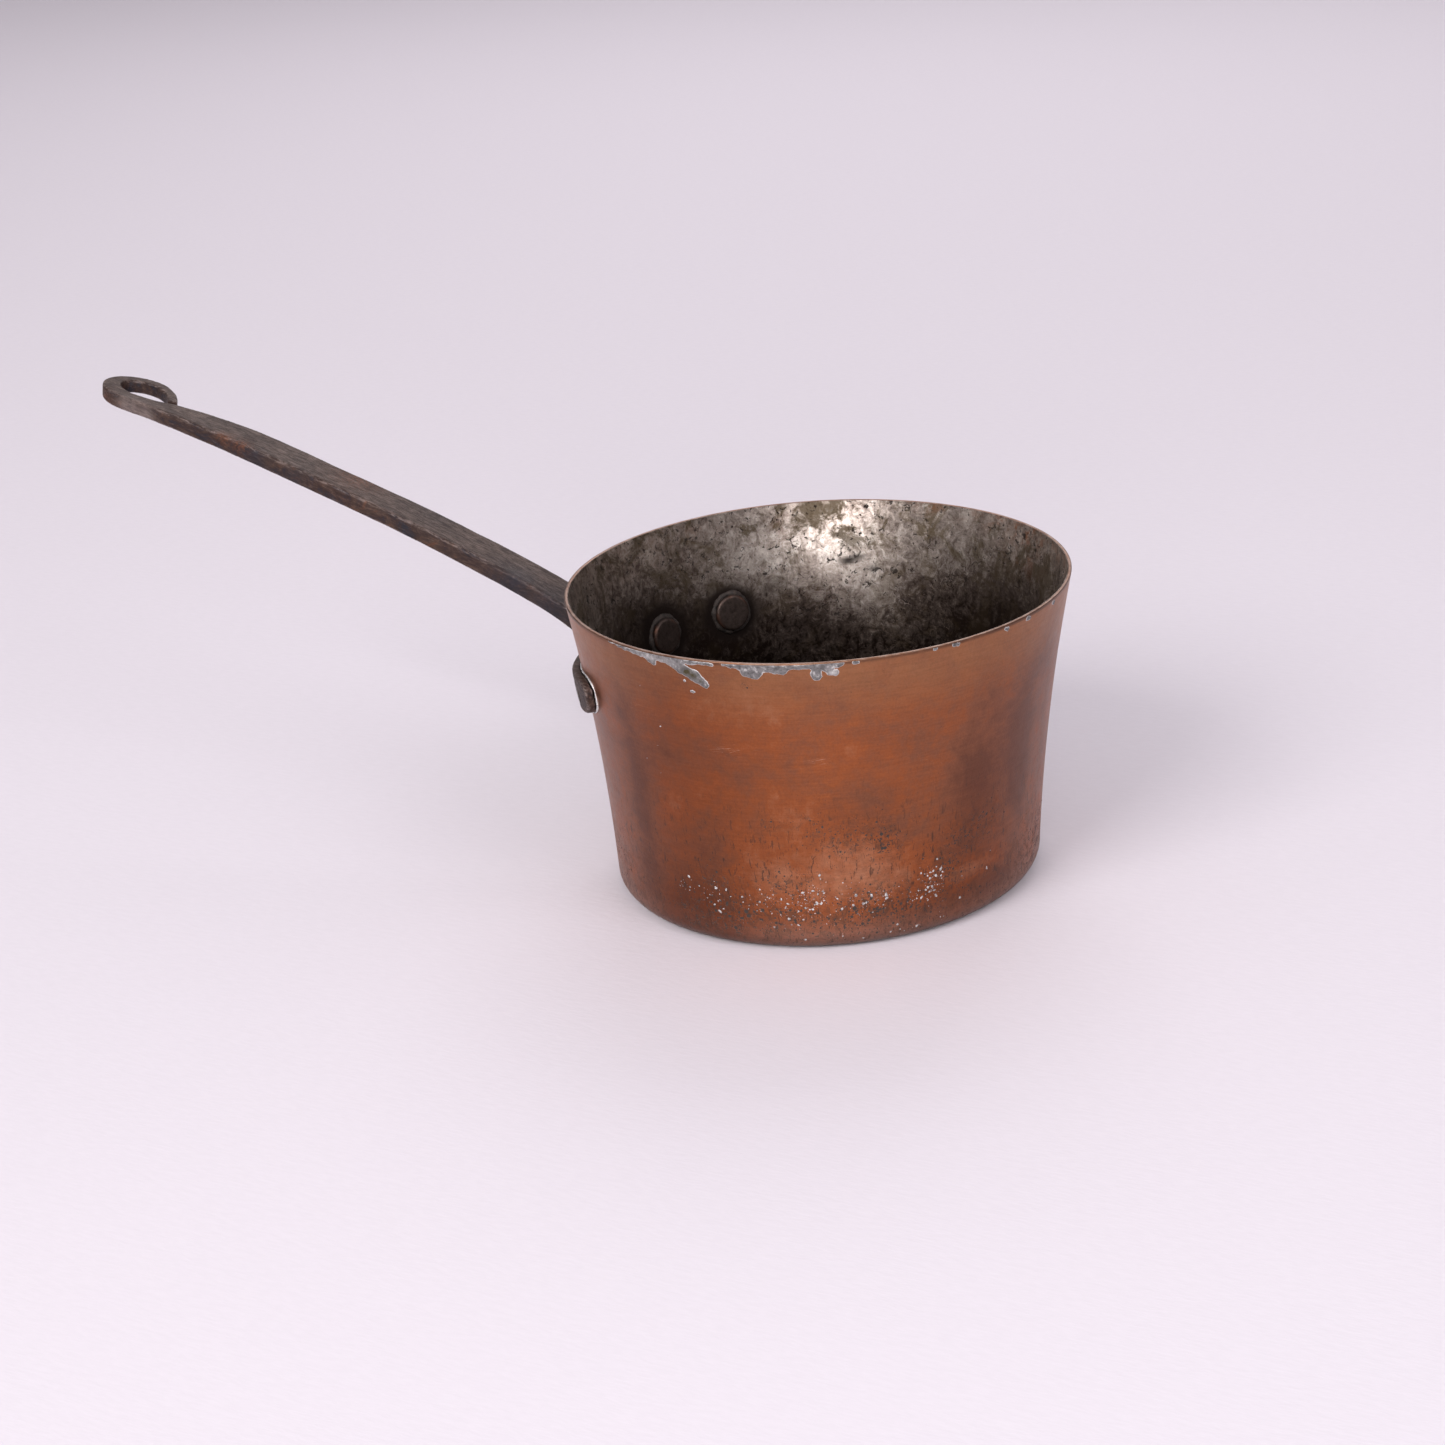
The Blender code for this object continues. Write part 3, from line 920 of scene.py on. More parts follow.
@dataclass(frozen=True)
class BlackIron:
    """Forged iron: grey scale worn smooth on top, rust-brown and blue-black on the sides; the lighter
    top and darker sides are partly painted light, and the ridges carry painted highlights.
    """

    scale: Colour = (0.051, 0.0305, 0.0245)
    worn: Colour = (0.104, 0.069, 0.056)
    side: Colour = (0.030, 0.0152, 0.0130)
    blue: Colour = (0.018, 0.016, 0.022)
    rust: Colour = (0.110, 0.038, 0.018)
    umber: Colour = (0.050, 0.029, 0.022)
    # rubbed iron colour, also used for painted highlights along the ridges
    rubbed: Colour = (0.175, 0.135, 0.125)

    def material(self) -> bpy.types.Material:
        """Builds the material; it reads the painted topside, ridge, glow, embers and bluing."""
        f = Finish("black_iron")
        grain = f.grain(0.0010, f.stretched((0.22, 1, 1), (0, -16, 0)), 8.0, 0.78, 0.5)
        blotches = f.grain(0.0065, f.stretched((0.60, 1, 1), (0, -16, 0)), 9.0, 0.78, 0.8)
        specks = f.grain(0.0009, f.place, 4.0, 0.7)
        sides = f.ramp(blotches, ((0.40, self.blue), (0.46, self.side), (0.56, self.umber),
                                  (0.68, self.rust)))
        sides = f.mix(f.span(grain, 0.52, 0.66, 0.0, 0.35), sides, self.worn)
        shares = f.calc("MULTIPLY_ADD", blotches, 0.5, f.calc("MULTIPLY", grain, 0.5))
        top = f.ramp(shares, ((0.38, self.side), (0.49, self.scale), (0.62, self.worn)))
        # partly painted light: upward faces, and part of the strap, take the lighter top colours, the
        # rest the darker side colours
        colour = f.mix(f.painted("topside"), sides, top)
        patchy = f.span(grain, 0.44, 0.60, 0.0, 0.75)
        # painted highlight with edge wear: arrises are mixed towards the light rubbed colour
        colour = f.mix(f.calc("MULTIPLY", f.painted("ridge"), patchy), colour, self.rubbed)
        glow = f.calc("MULTIPLY", f.painted("glow"), f.span(blotches, 0.36, 0.56, 0.45, 1.0))
        colour = f.mix(glow, colour, self.rubbed)
        blued = f.calc("MULTIPLY", f.painted("bluing"), f.span(specks, 0.35, 0.55, 0.5, 0.9))
        colour = f.mix(blued, colour, self.blue)
        fresh = f.calc("MULTIPLY", f.painted("embers"), f.span(specks, 0.40, 0.56, 0.0, 0.95))
        colour = f.mix(fresh, colour, self.rust)
        colour = f.shade(colour, f.span(grain, 0.32, 0.68, 0.70, 1.26))
        roughness = f.span(grain, 0.3, 0.7, 0.68, 0.50)
        relief = f.calc("MULTIPLY_ADD", specks, 0.5, grain)
        return f.dress(colour, roughness, 0.40, relief, 0.16 * MM, 0.35)


@dataclass(frozen=True)
class DullRivet:
    """Copper rivet heads gone brown-grey, with a trace of red copper at their edge."""

    brown: Colour = (0.036, 0.024, 0.020)
    grey: Colour = (0.092, 0.068, 0.060)
    red: Colour = (0.150, 0.065, 0.042)

    def material(self) -> bpy.types.Material:
        """Builds the material; it reads the painted edge."""
        f = Finish("dull_rivet")
        mottle = f.grain(0.0018, f.place, 6.0, 0.7)
        colour = f.ramp(mottle, ((0.36, self.brown), (0.66, self.grey)))
        patchy = f.span(f.grain(0.006, f.place), 0.42, 0.58, 0.05, 0.6)
        worn = f.calc("MULTIPLY", f.painted("edge"), patchy)
        colour = f.mix(worn, colour, self.red)
        return f.dress(colour, f.span(mottle, 0.3, 0.7, 0.55, 0.40), 0.8, mottle, 0.10 * MM)


@dataclass(frozen=True)
class Crumbs:
    """A small lumpy deposit of one tone, mottled towards another."""

    name: str
    dark: Colour
    light: Colour
    metallic: float
    roughness: float

    def material(self) -> bpy.types.Material:
        """Builds the material."""
        f = Finish(self.name)
        mottle = f.grain(0.0011, f.place, 4.0, 0.65)
        colour = f.ramp(mottle, ((0.35, self.dark), (0.65, self.light)))
        roughness = f.span(mottle, 0.3, 0.7, self.roughness - 0.08, self.roughness + 0.08)
        return f.dress(colour, roughness, self.metallic, mottle, 0.08 * MM)


BRIGHT_CRUMBS = Crumbs("bright_tin_crumbs", (0.17, 0.155, 0.155), (0.58, 0.555, 0.56), 0.20, 0.50)
BURNT_CRUMBS = Crumbs("burnt_crumbs", (0.010, 0.007, 0.006), (0.045, 0.031, 0.026), 0.1, 0.75)
SOLDER = Crumbs("solder", (0.34, 0.33, 0.33), (0.70, 0.69, 0.69), 0.5, 0.45)


# ---------------------------------------------------------------- pieces


@dataclass
class CopperBowl:
    """The raised copper bowl: outer wall, rim, underside, and the copper behind the tin."""

    shape: BowlShape
    turned: TurnedForm
    unevenness: float = 0.16 * MM
    lump: float = 0.034
    sides: int = 384
    rows: int = 84
    tin: float = 0.10 * MM
    gap: float = 0.02 * MM
    ease: float = 0.45 * MM
    low_grime: float = 0.42
    low_grime_reach: float = 26 * MM
    least_grime: float = 0.10
    ruddy_places: tuple[Patch, ...] = (
        Patch(263, 83, 10, 9, 0.45), Patch(267, 56, 9, 9, 0.55), Patch(256, 51, 6, 9, 0.5),
        Patch(287, 52, 10, 9, 0.35), Patch(297, 30, 15, 12, 0.95), Patch(300, 66, 18, 14, 0.35),
        Patch(336, 19, 11, 4, 0.9), Patch(312, 24, 14, 10, 0.6), Patch(278, 30, 14, 12, 0.45),
        Patch(280, 88, 22, 8, 0.3), Patch(244, 50, 6, 40, -0.8), Patch(305, 56, 8, 10, -0.45),
        Patch(335, 53, 9, 9, -0.75), Patch(354, 50, 7, 16, -1.1), Patch(346, 10, 12, 6, -0.9),
        Patch(268, 30, 6, 8, -0.35), Patch(0, 80, 20, 20, -0.5), Patch(150, 45, 30, 18, 0.5),
        Patch(95, 30, 25, 12, 0.8), Patch(60, 65, 25, 15, -0.5), Patch(210, 40, 20, 14, -0.5),
        Patch(30, 22, 22, 10, 0.6))
    # where painted shade darkens the copper, partly as darker tarnish and partly as shade painted in
    dusky_places: tuple[Patch, ...] = (
        Patch(259, 50, 29, 80, 0.37), Patch(347, 40, 18, 60, 0.22), Patch(259, 5, 18, 16, 0.55),
        Patch(328, 10, 24, 12, 0.36), Patch(303, 47, 16, 9, 0.14), Patch(335, 34, 14, 16, 0.36),
        Patch(80, 50, 50, 90, 0.15))
    scratched_places: tuple[Patch, ...] = (
        Patch(273.5, 70.8, 6.5, 1.6, 0.9), Patch(292.5, 67.5, 4.5, 2.0, 0.7),
        Patch(318, 60, 7, 4, 0.35), Patch(250, 80, 5, 4, 0.3), Patch(60, 60, 14, 6, 0.5))
    grimy_places: tuple[Patch, ...] = (
        Patch(285, 25, 8, 5, 0.9), Patch(291, 45, 6, 5, 0.5), Patch(281, 45, 4, 4, 0.5),
        Patch(298, 37, 4, 5, 0.6), Patch(309, 36, 7, 7, 0.8), Patch(307, 17, 9, 5, 0.8),
        Patch(273, 14, 9, 5, 0.6), Patch(265, 23, 7, 6, 0.5), Patch(333, 31, 9, 8, 0.55),
        Patch(342, 36, 8, 7, 0.4), Patch(325, 22, 8, 7, 0.5), Patch(298, 12, 34, 6, 0.55),
        Patch(300, 40, 14, 8, 0.35), Patch(262, 10, 14, 6, 0.4), Patch(278.8, 94.2, 1.3, 1.2, 0.9),
        Patch(120, 18, 40, 8, 0.7), Patch(60, 25, 25, 12, 0.6), Patch(20, 15, 25, 8, 0.7),
        Patch(200, 20, 30, 10, 0.6), Patch(160, 30, 15, 10, 0.5))

    def build(self) -> bpy.types.Object:
        """Turns the bowl and paints where it is ruddy, dusky, scratched and grimy."""
        inset = self.shape.wall - self.tin - self.gap
        section = self.shape.cup((0.0, inset), (0.0, self.shape.floor - self.tin - self.gap),
                                 self.shape.height, (self.rows, 14), self.ease)
        piece = self.turned.make("copper_bowl", section, WornCopper().material(), self.sides,
                                 self.shape, self.unevenness, self.lump)
        points = vertices(piece.data)
        paint(piece.data, "ruddiness", cover(points, self.ruddy_places))
        paint(piece.data, "dusk", np.clip(cover(points, self.dusky_places), 0, 0.6))
        paint(piece.data, "scratched", np.clip(cover(points, self.scratched_places), 0, 1))
        band = self.low_grime * np.exp(-(points[:, 2] / self.low_grime_reach) ** 2)
        grime = cover(points, self.grimy_places) + band + self.least_grime
        paint(piece.data, "grime", np.clip(grime, 0, 1.3))
        return hand_over(piece, Slot.COPPER, "pan_body")


@dataclass
class TinLining:
    """The thin tin skin wiped over the copper's inside.

    The halo and the ring of dirt round each rivet head reach as far as they say in millimetres.
    """

    bowl: CopperBowl
    lip: float = 0.12 * MM
    halo: float = 11.0
    halo_crust: float = 0.2
    ring: float = 7.3
    ring_crust: float = 2.4
    # painted shade: the lining is darkened towards the floor, up to the height below
    floor_painted_shade: float = 0.30
    floor_painted_shade_top: float = 60 * MM
    # painted highlight and painted shade on the inner wall, partly cleaner tin: places above zero
    # lighten it, places below zero darken it
    painted_highlight_and_shade_places: tuple[Patch, ...] = (
        Patch(110, 82, 18, 10, 0.55), Patch(103, 68, 10, 9, 0.75), Patch(103, 90, 8, 6, 0.35),
        Patch(112, 97, 12, 4, 0.15), Patch(132, 82, 10, 8, 0.6), Patch(152, 86, 14, 8, 0.3),
        Patch(95, 60, 8, 8, 0.2), Patch(300, 70, 60, 20, 0.5), Patch(20, 84, 26, 12, 0.3),
        Patch(156, 68, 30, 14, -1.0), Patch(62, 69, 34, 14, -1.0), Patch(176, 78, 20, 14, -0.7),
        Patch(46, 80, 20, 12, -0.5), Patch(102, 99, 12, 4, -0.3), Patch(120, 82, 6, 6, -0.3))
    rusty: tuple[Patch, ...] = (
        Patch(88, 101, 7, 2.5, 1.0), Patch(60, 100, 25, 4, 1.0), Patch(55, 91, 9, 7, 0.8),
        Patch(30, 99, 20, 3, 0.7), Patch(124, 93, 6, 5, 0.4), Patch(150, 98, 20, 3, 0.4),
        Patch(240, 99, 40, 3, 0.7))
    # burnt-on dirt and marks, with painted shade on the side walls and low at the front
    crust_and_shade_places: tuple[Patch, ...] = (
        Patch(107.5, 80.5, 3.0, 1.2, 1.1), Patch(104.5, 81.8, 3.0, 0.9, 0.8),
        Patch(101, 78, 2.2, 1.0, 0.8), Patch(128, 73, 5, 4, 0.4), Patch(300, 30, 60, 16, 0.3),
        Patch(155, 66, 34, 14, 0.5), Patch(60, 69, 40, 14, 0.55), Patch(174, 76, 20, 14, 0.35),
        Patch(46, 77, 20, 14, 0.25), Patch(68, 84, 26, 9, 0.25), Patch(131, 95, 9, 5, 0.4),
        Patch(134, 66, 12, 8, 0.1))

    def build(self, rivets: "Rivets") -> bpy.types.Object:
        """Turns the lining and paints its highlight and shade, its rust, and the burnt-on dirt round
        the rivets with painted shade lower down and on the side walls.

        Args:
            rivets: The rivets whose heads it surrounds.

        Returns:
            The piece.
        """
        shape = self.bowl.shape
        section = shape.cup((shape.wall - self.bowl.tin, shape.wall),
                            (shape.floor - self.bowl.tin, shape.floor),
                            shape.height - self.lip, (14, self.bowl.rows), self.bowl.tin / 2)
        piece = self.bowl.turned.make("tin_lining", section, WipedTin().material(),
                                      self.bowl.sides, shape, self.bowl.unevenness, self.bowl.lump)
        points = vertices(piece.data)
        halos = [Patch(angle, height / MM, reach, reach, amount)
                 for reach, amount in ((self.halo, self.halo_crust), (self.ring, self.ring_crust))
                 for angle, height in rivets.places]
        # painted shade: more darkening towards the floor of the pan
        depth = self.floor_painted_shade * (1 - smooth_step(points[:, 2] / self.floor_painted_shade_top))
        paint(piece.data, "gleam", cover(points, self.painted_highlight_and_shade_places))
        paint(piece.data, "rust", cover(points, self.rusty))
        paint(piece.data, "crust", np.clip(cover(points, halos + list(self.crust_and_shade_places)) + depth, 0, 1))
        return hand_over(piece, Slot.TIN)


@dataclass(frozen=True)
class Run:
    """A round-ended run of tin on the wall, from one place to another; lengths in millimetres."""

    angle: float
    height: float
    radius: float
    to_angle: float
    to_height: float
    to_radius: float


@dataclass
class TinSplashes:
    """Tin that ran over the front of the rim and froze in patches on the copper.

    Its lengths are in millimetres.
    """

    bowl: CopperBowl
    step: float = 0.20
    raised: float = 0.14
    sunk: float = 0.07
    thickness: float = 0.12
    shoulder: float = 0.55
    margin: float = 0.35
    lowest: float = 88.0
    angles: tuple[float, float] = (242.0, 365.0)
    blend: float = 0.8
    ragged: float = 0.42
    swell: float = 0.42
    broad: float = 1.9
    narrow: float = 0.6
    outline_width: float = 0.17
    runs: tuple[Run, ...] = (
        Run(244.5, 101.2, 0.0, 249.6, 100.8, 0.3), Run(249.6, 100.8, 0.3, 256.7, 100.2, 0.8),
        Run(256.5, 99.6, 1.2, 257.4, 98.6, 0.9), Run(256.7, 100.3, 0.8, 262.0, 100.4, 1.1),
        Run(261.5, 100.2, 1.3, 264.6, 98.0, 1.5), Run(264.6, 98.0, 1.5, 267.6, 95.9, 1.7),
        Run(267.6, 95.9, 1.6, 269.9, 93.3, 0.9), Run(262.0, 100.6, 0.7, 267.5, 100.7, 0.4),
        Run(267.5, 100.7, 0.4, 272.0, 100.6, 0.2), Run(266.4, 90.4, 0.3, 266.7, 90.2, 0.2),
        Run(264.9, 93.8, 0.1, 265.0, 93.6, 0.1), Run(283.3, 99.9, 0.6, 284.4, 99.8, 0.6),
        Run(274.5, 101.0, 0.2, 278.2, 100.6, 0.8), Run(279.7, 99.1, 1.9, 281.3, 99.0, 1.9),
        Run(281.0, 97.8, 0.9, 281.4, 97.2, 0.6), Run(281.0, 100.6, 0.8, 286.5, 100.5, 0.8),
        Run(285.3, 99.8, 1.0, 287.2, 99.1, 0.9), Run(286.5, 100.6, 0.6, 299.6, 100.7, 0.5),
        Run(293.4, 100.2, 0.6, 294.0, 98.6, 0.4), Run(294.1, 97.7, 1.4, 294.2, 97.4, 1.4),
        Run(295.5, 100.2, 1.0, 297.0, 99.6, 0.9), Run(297.0, 98.2, 0.7, 298.3, 97.9, 0.8),
        Run(302.4, 101.0, 0.5, 303.0, 100.8, 0.4), Run(320.8, 101.0, 0.3, 321.3, 100.9, 0.3),
        Run(326.0, 100.9, 0.6, 327.0, 100.5, 0.4), Run(341.2, 100.4, 0.4, 342.0, 100.0, 0.5),
        Run(349.2, 100.4, 0.5, 350.4, 100.2, 0.4), Run(361.5, 100.2, 0.4, 362.4, 99.8, 0.4))
    dross_places: tuple[Patch, ...] = (
        Patch(265.8, 97.3, 1.5, 1.2, 1.4), Patch(267.4, 95.9, 1.2, 1.0, 1.2),
        Patch(268.9, 94.4, 0.8, 0.7, 0.7))

    def build(self, wall: "Probe") -> bpy.types.Object:
        """Builds the patches as a thin skin that dips into the copper at its outline.

        Args:
            wall: Finds the copper's real surface.

        Returns:
            The piece.
        """
        reach = self.bowl.shape.top_radius / MM
        columns = round(math.radians(self.angles[1] - self.angles[0]) * reach / self.step)
        top = (self.bowl.shape.height - self.bowl.ease) / MM
        levels = round((top - self.lowest) / self.step)
        angle, height = np.meshgrid(np.linspace(*self.angles, columns),
                                    np.linspace(self.lowest, top, levels), indexing="ij")
        gap = self.distance(angle, height, reach)
        proud = -self.sunk + (self.raised + self.sunk) * smooth_step(0.12 - gap / self.shoulder)
        kept = gap < self.margin
        layer = bmesh.new()
        made = {}
        for i, j in zip(*np.nonzero(kept)):
            spot = wall.outside(float(angle[i, j]), float(height[i, j]) * MM,
                                float(proud[i, j]) * MM)
            made[i, j] = layer.verts.new(spot)
        for i, j in made:
            corners = [(i, j), (i + 1, j), (i + 1, j + 1), (i, j + 1)]
            if all(corner in made for corner in corners):
                layer.faces.new([made[corner] for corner in corners])
        loose = [vertex for vertex in layer.verts if not vertex.link_faces]
        bmesh.ops.delete(layer, geom=loose, context="VERTS")
        mesh = bpy.data.meshes.new("tin_splashes_skin")
        layer.to_mesh(mesh)
        layer.free()
        mesh.shade_smooth()
        mesh.materials.append(SplashedTin().material())
        host = in_scene("tin_splashes_host", mesh)
        thick = host.modifiers.new("thickness", "SOLIDIFY")
        thick.thickness = self.thickness * MM
        thick.offset = -1.0
        piece = plain_copy(host, "tin_splashes")
        self.paint_outline(piece.data, reach)
        return hand_over(piece, Slot.TIN)

    def distance(self, angle: np.ndarray, height: np.ndarray, reach: float) -> np.ndarray:
        """How far places are outside the runs, in millimetres; below zero is inside.

        Args:
            angle: The places' angles.
            height: Their heights, in millimetres.
            reach: The wall's radius there, in millimetres.

        Returns:
            The distances, with runs that nearly touch melted together.
        """
        melted = np.zeros(angle.shape)
        for run in self.runs:
            start = np.array([math.radians(run.angle) * reach, run.height])
            end = np.array([math.radians(run.to_angle) * reach, run.to_height])
            span = end - start
            place = np.stack([np.radians(angle) * reach, height], axis=-1) - start
            share = np.clip(place @ span / (span @ span), 0.0, 1.0)
            off = np.linalg.norm(place - share[..., None] * span, axis=-1)
            radius = run.radius + (run.to_radius - run.radius) * share
            melted += np.exp(-(off - radius) / (self.blend / 2))
        gap = -np.log(melted + 1e-12) * self.blend / 2
        wander = np.vectorize(self.wander)(np.radians(angle) * reach, height)
        return gap + wander - self.swell

    def wander(self, across: float, up: float) -> float:
        """How far the outline strays at a place, in millimetres."""
        broad = noise.noise(Vector((across / self.broad, up / self.broad, 3.0)))
        narrow = noise.noise(Vector((across / self.narrow, up / self.narrow, 9.0)))
        return self.ragged * (broad + 0.45 * narrow)

    def paint_outline(self, mesh: bpy.types.Mesh, reach: float) -> None:
        """Paints the pale outline and the dross.

        Args:
            mesh: The finished mesh.
            reach: The wall's radius, in millimetres.
        """
        points = vertices(mesh)
        angle = np.degrees(np.arctan2(points[:, 1], points[:, 0])) % 360
        angle = np.where(angle < self.angles[0] - 1, angle + 360, angle)
        gap = self.distance(angle, points[:, 2] / MM, reach)
        pale = np.exp(-((gap + 0.08) / self.outline_width) ** 2)
        blob = cover(points, [Patch(297.8, 97.9, 1.6, 1.4, 0.4), Patch(257, 99.6, 10, 1.2, 0.25)])
        paint(mesh, "outline", np.clip(np.maximum(pale, blob), 0, 1))
        paint(mesh, "dross", cover(points, self.dross_places))


class Probe:
    """Finds places on a finished surface.

    It looks from a little way off the wall, so that it meets the right face first.
    """

    OUTER_START = 3 * MM
    INNER_START = 12 * MM

    def __init__(self, piece: bpy.types.Object, shape: BowlShape) -> None:
        """Measures a piece.

        Args:
            piece: The finished bowl or lining.
            shape: The bowl's form.
        """
        mesh = piece.data
        faces = [tuple(face.vertices) for face in mesh.polygons]
        self.tree = BVHTree.FromPolygons([vertex.co for vertex in mesh.vertices], faces)
        self.shape = shape

    def outside(self, angle: float, height: float, proud: float) -> Vector:
        """A place on the outer face, found by looking inwards.

        Args:
            angle: Degrees round the bowl.
            height: Height above the base.
            proud: How far off the face the place is.

        Returns:
            The place.
        """
        stand = self.shape.stand(angle, height)
        outward = stand.to_3x3() @ Vector((0, 0, 1))
        hit = self.tree.ray_cast(stand.translation + outward * self.OUTER_START, -outward)[0]
        return (hit or stand.translation) + outward * proud

    def inside(self, angle: float, height: float, proud: float) -> Matrix:
        """A standing on the inner face, with Z pointing into the pan.

        Args:
            angle: Degrees round the bowl.
            height: Height above the base.
            proud: How far off the face it is.

        Returns:
            The matrix.
        """
        stand = self.shape.stand(angle, height)
        inward = stand.to_3x3() @ Vector((0, 0, -1))
        hit = self.tree.ray_cast(stand.translation + inward * self.INNER_START, -inward)[0]
        turned = stand.to_3x3() @ Matrix.Rotation(math.pi, 3, "Y")
        place = (hit or stand.translation) + inward * proud
        return Matrix.Translation(place) @ turned.to_4x4()


@dataclass
class StrapOutline:
    """Where the strap lies on the wall; turns are in degrees from the handle, towards -Y."""

    shape: BowlShape
    height: float = 65.7 * MM
    rise: float = 5.8 * MM
    lean: float = 3.6 * MM
    half_angle: float = 50.0
    half_height: float = 9.2 * MM
    end_half_height: float = 6.3 * MM
    tip_half_height: float = 1.6 * MM
    tip_length: float = 8.0 * MM

    def middle(self, turn: float) -> float:
        """Height of the strap's middle line at a turn."""
        share = turn / self.half_angle
        return self.height + self.rise * share * share + self.lean * share

    def half(self, turn: float) -> float:
        """Half the strap's height at a turn."""
        to_end = math.radians(self.half_angle - abs(turn)) * float(self.shape.radius(self.height))
        share = min(to_end / self.tip_length, 1.0)
        taper = (self.half_height - self.end_half_height) * abs(turn) / self.half_angle
        full = self.half_height - taper
        rounding = math.sqrt(1 - (1 - share) ** 2)
        return self.tip_half_height + (full - self.tip_half_height) * rounding

    def edge(self, steps: int) -> list[tuple[float, float]]:
        """The strap's outline.

        Args:
            steps: How many places the whole outline has.

        Returns:
            Angle round the bowl and height of each place.
        """
        places = []
        for i in range(steps):
            turn = self.half_angle * math.cos(math.tau * i / steps)
            side = 1 if i < steps / 2 else -1
            places.append((180.0 + turn, self.middle(turn) + side * self.half(turn)))
        return places


@dataclass
class SolderSeam:
    """The bright line of tin that crept out all round the strap."""

    strap: StrapOutline
    bead: RunningBead
    steps: int = 520
    thinnest: float = 0.16 * MM
    thickest: float = 0.50 * MM
    lump: float = 2.2 * MM
    lift: float = 0.12 * MM
    sides: int = 8
    seed: float = 2.0

    def build(self, wall: Probe) -> bpy.types.Object:
        """Runs the bead where the strap's edge meets the wall.

        Args:
            wall: Finds the copper's real surface.

        Returns:
            The piece.
        """
        places = [wall.outside(angle, height, self.lift)
                  for angle, height in self.strap.edge(self.steps)]
        path = line_mesh("solder_path", places, closed=True)
        piece = self.bead.run("solder_seam", path, Thinnest=self.thinnest, Thickest=self.thickest,
                              Lump_Size=self.lump, Sides=self.sides, Seed=self.seed,
                              Material=SOLDER.material())
        return hand_over(piece, Slot.TIN)


@dataclass
class Rivets:
    """Four copper rivets: broad flat heads inside the pan, ends hammered into the strap."""

    shape: BowlShape
    nodes: tuple[str, ...] = ("rivet_far_outer", "rivet_far_inner", "rivet_near_inner",
                              "rivet_near_outer")
    head_radius: float = 6.4 * MM
    head_height: float = 1.8 * MM
    head_easing: float = 1.0 * MM
    head_easing_depth: float = 0.9 * MM
    arc_steps: int = 6
    end_radius: float = 4.3 * MM
    end_dome: float = 0.18 * MM
    shank_radius: float = 2.5 * MM
    strap_face: float = 3.38 * MM
    seat: float = 1.7 * MM
    head_gap: float = 0.6 * MM
    punch_radius: float = 0.8 * MM
    punch_depth: float = 0.10 * MM
    sides: int = 64
    unevenness: float = 0.22 * MM
    lump: float = 4 * MM
    size_spread: float = 0.03
    spins: tuple[float, ...] = (0.0, 2.1, 4.0, 5.2)
    places: list[tuple[float, float]] = field(default_factory=list)

    def __post_init__(self) -> None:
        """Reads each rivet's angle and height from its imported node."""
        for node in self.nodes:
            low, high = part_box(node)
            centre = (low + high) / 2
            self.places.append((math.degrees(math.atan2(centre.y, centre.x)) % 360, centre.z))

    def section(self) -> Outline:
        """The section of one rivet: Z points out of the wall, 0 is the wall's outer face."""
        head = -self.shape.wall - self.head_gap
        inner = head - self.head_height
        turns = [math.pi / 2 * i / self.arc_steps for i in range(self.arc_steps + 1)]
        arc = [(self.head_radius - self.head_easing * (1 - math.sin(turn)),
                inner + self.head_easing_depth * (1 - math.cos(turn))) for turn in turns]
        flat = [(0.0, inner + self.punch_depth),
                (self.punch_radius * 0.5, inner + self.punch_depth * 0.8),
                (self.punch_radius, inner + 0.02 * MM), (self.punch_radius * 1.8, inner),
                (self.head_radius * 0.5, inner), (self.head_radius * 0.7, inner)]
        dome = [(self.end_radius * math.cos(turn),
                 self.strap_face + self.end_dome * math.sin(turn)) for turn in turns]
        dome[-1] = (0.0, dome[-1][1])
        stem = [(self.head_radius, head), (self.shank_radius, head), (self.shank_radius, self.seat)]
        return flat + arc + stem + dome

    def build(self, turned: TurnedForm, row: RivetRow) -> bpy.types.Object:
        """Turns one rivet and sets it in all four places.

        Args:
            turned: The tree that turns it.
            row: The tree that sets it.

        Returns:
            The piece.
        """
        material = DullRivet().material()
        single = turned.make("rivet_pattern", self.section(), material, self.sides,
                             unevenness=self.unevenness, lump=self.lump, seed=4.0)
        points = vertices(single.data)
        edge = smooth_step((np.hypot(points[:, 0], points[:, 1]) / self.head_radius - 0.80) / 0.18)
        paint(single.data, "edge", np.where(points[:, 2] < 0, edge, 0.0))
        stands = [self.shape.stand(angle, height) for angle, height in self.places]
        spots = line_mesh("rivet_spots", [stand.translation for stand in stands])
        turns = spots.attributes.new("turn", "FLOAT_VECTOR", "POINT")
        for item, stand, spin in zip(turns.data, stands, self.spins):
            item.vector = (stand @ Matrix.Rotation(spin, 4, "Z")).to_euler()
        piece = row.run("rivets", spots, Rivet=single, Size_Spread=self.size_spread, Seed=5,
                        Material=material)
        bpy.data.objects.remove(single, do_unlink=True)
        return hand_over(piece, Slot.RIVET, *self.nodes)


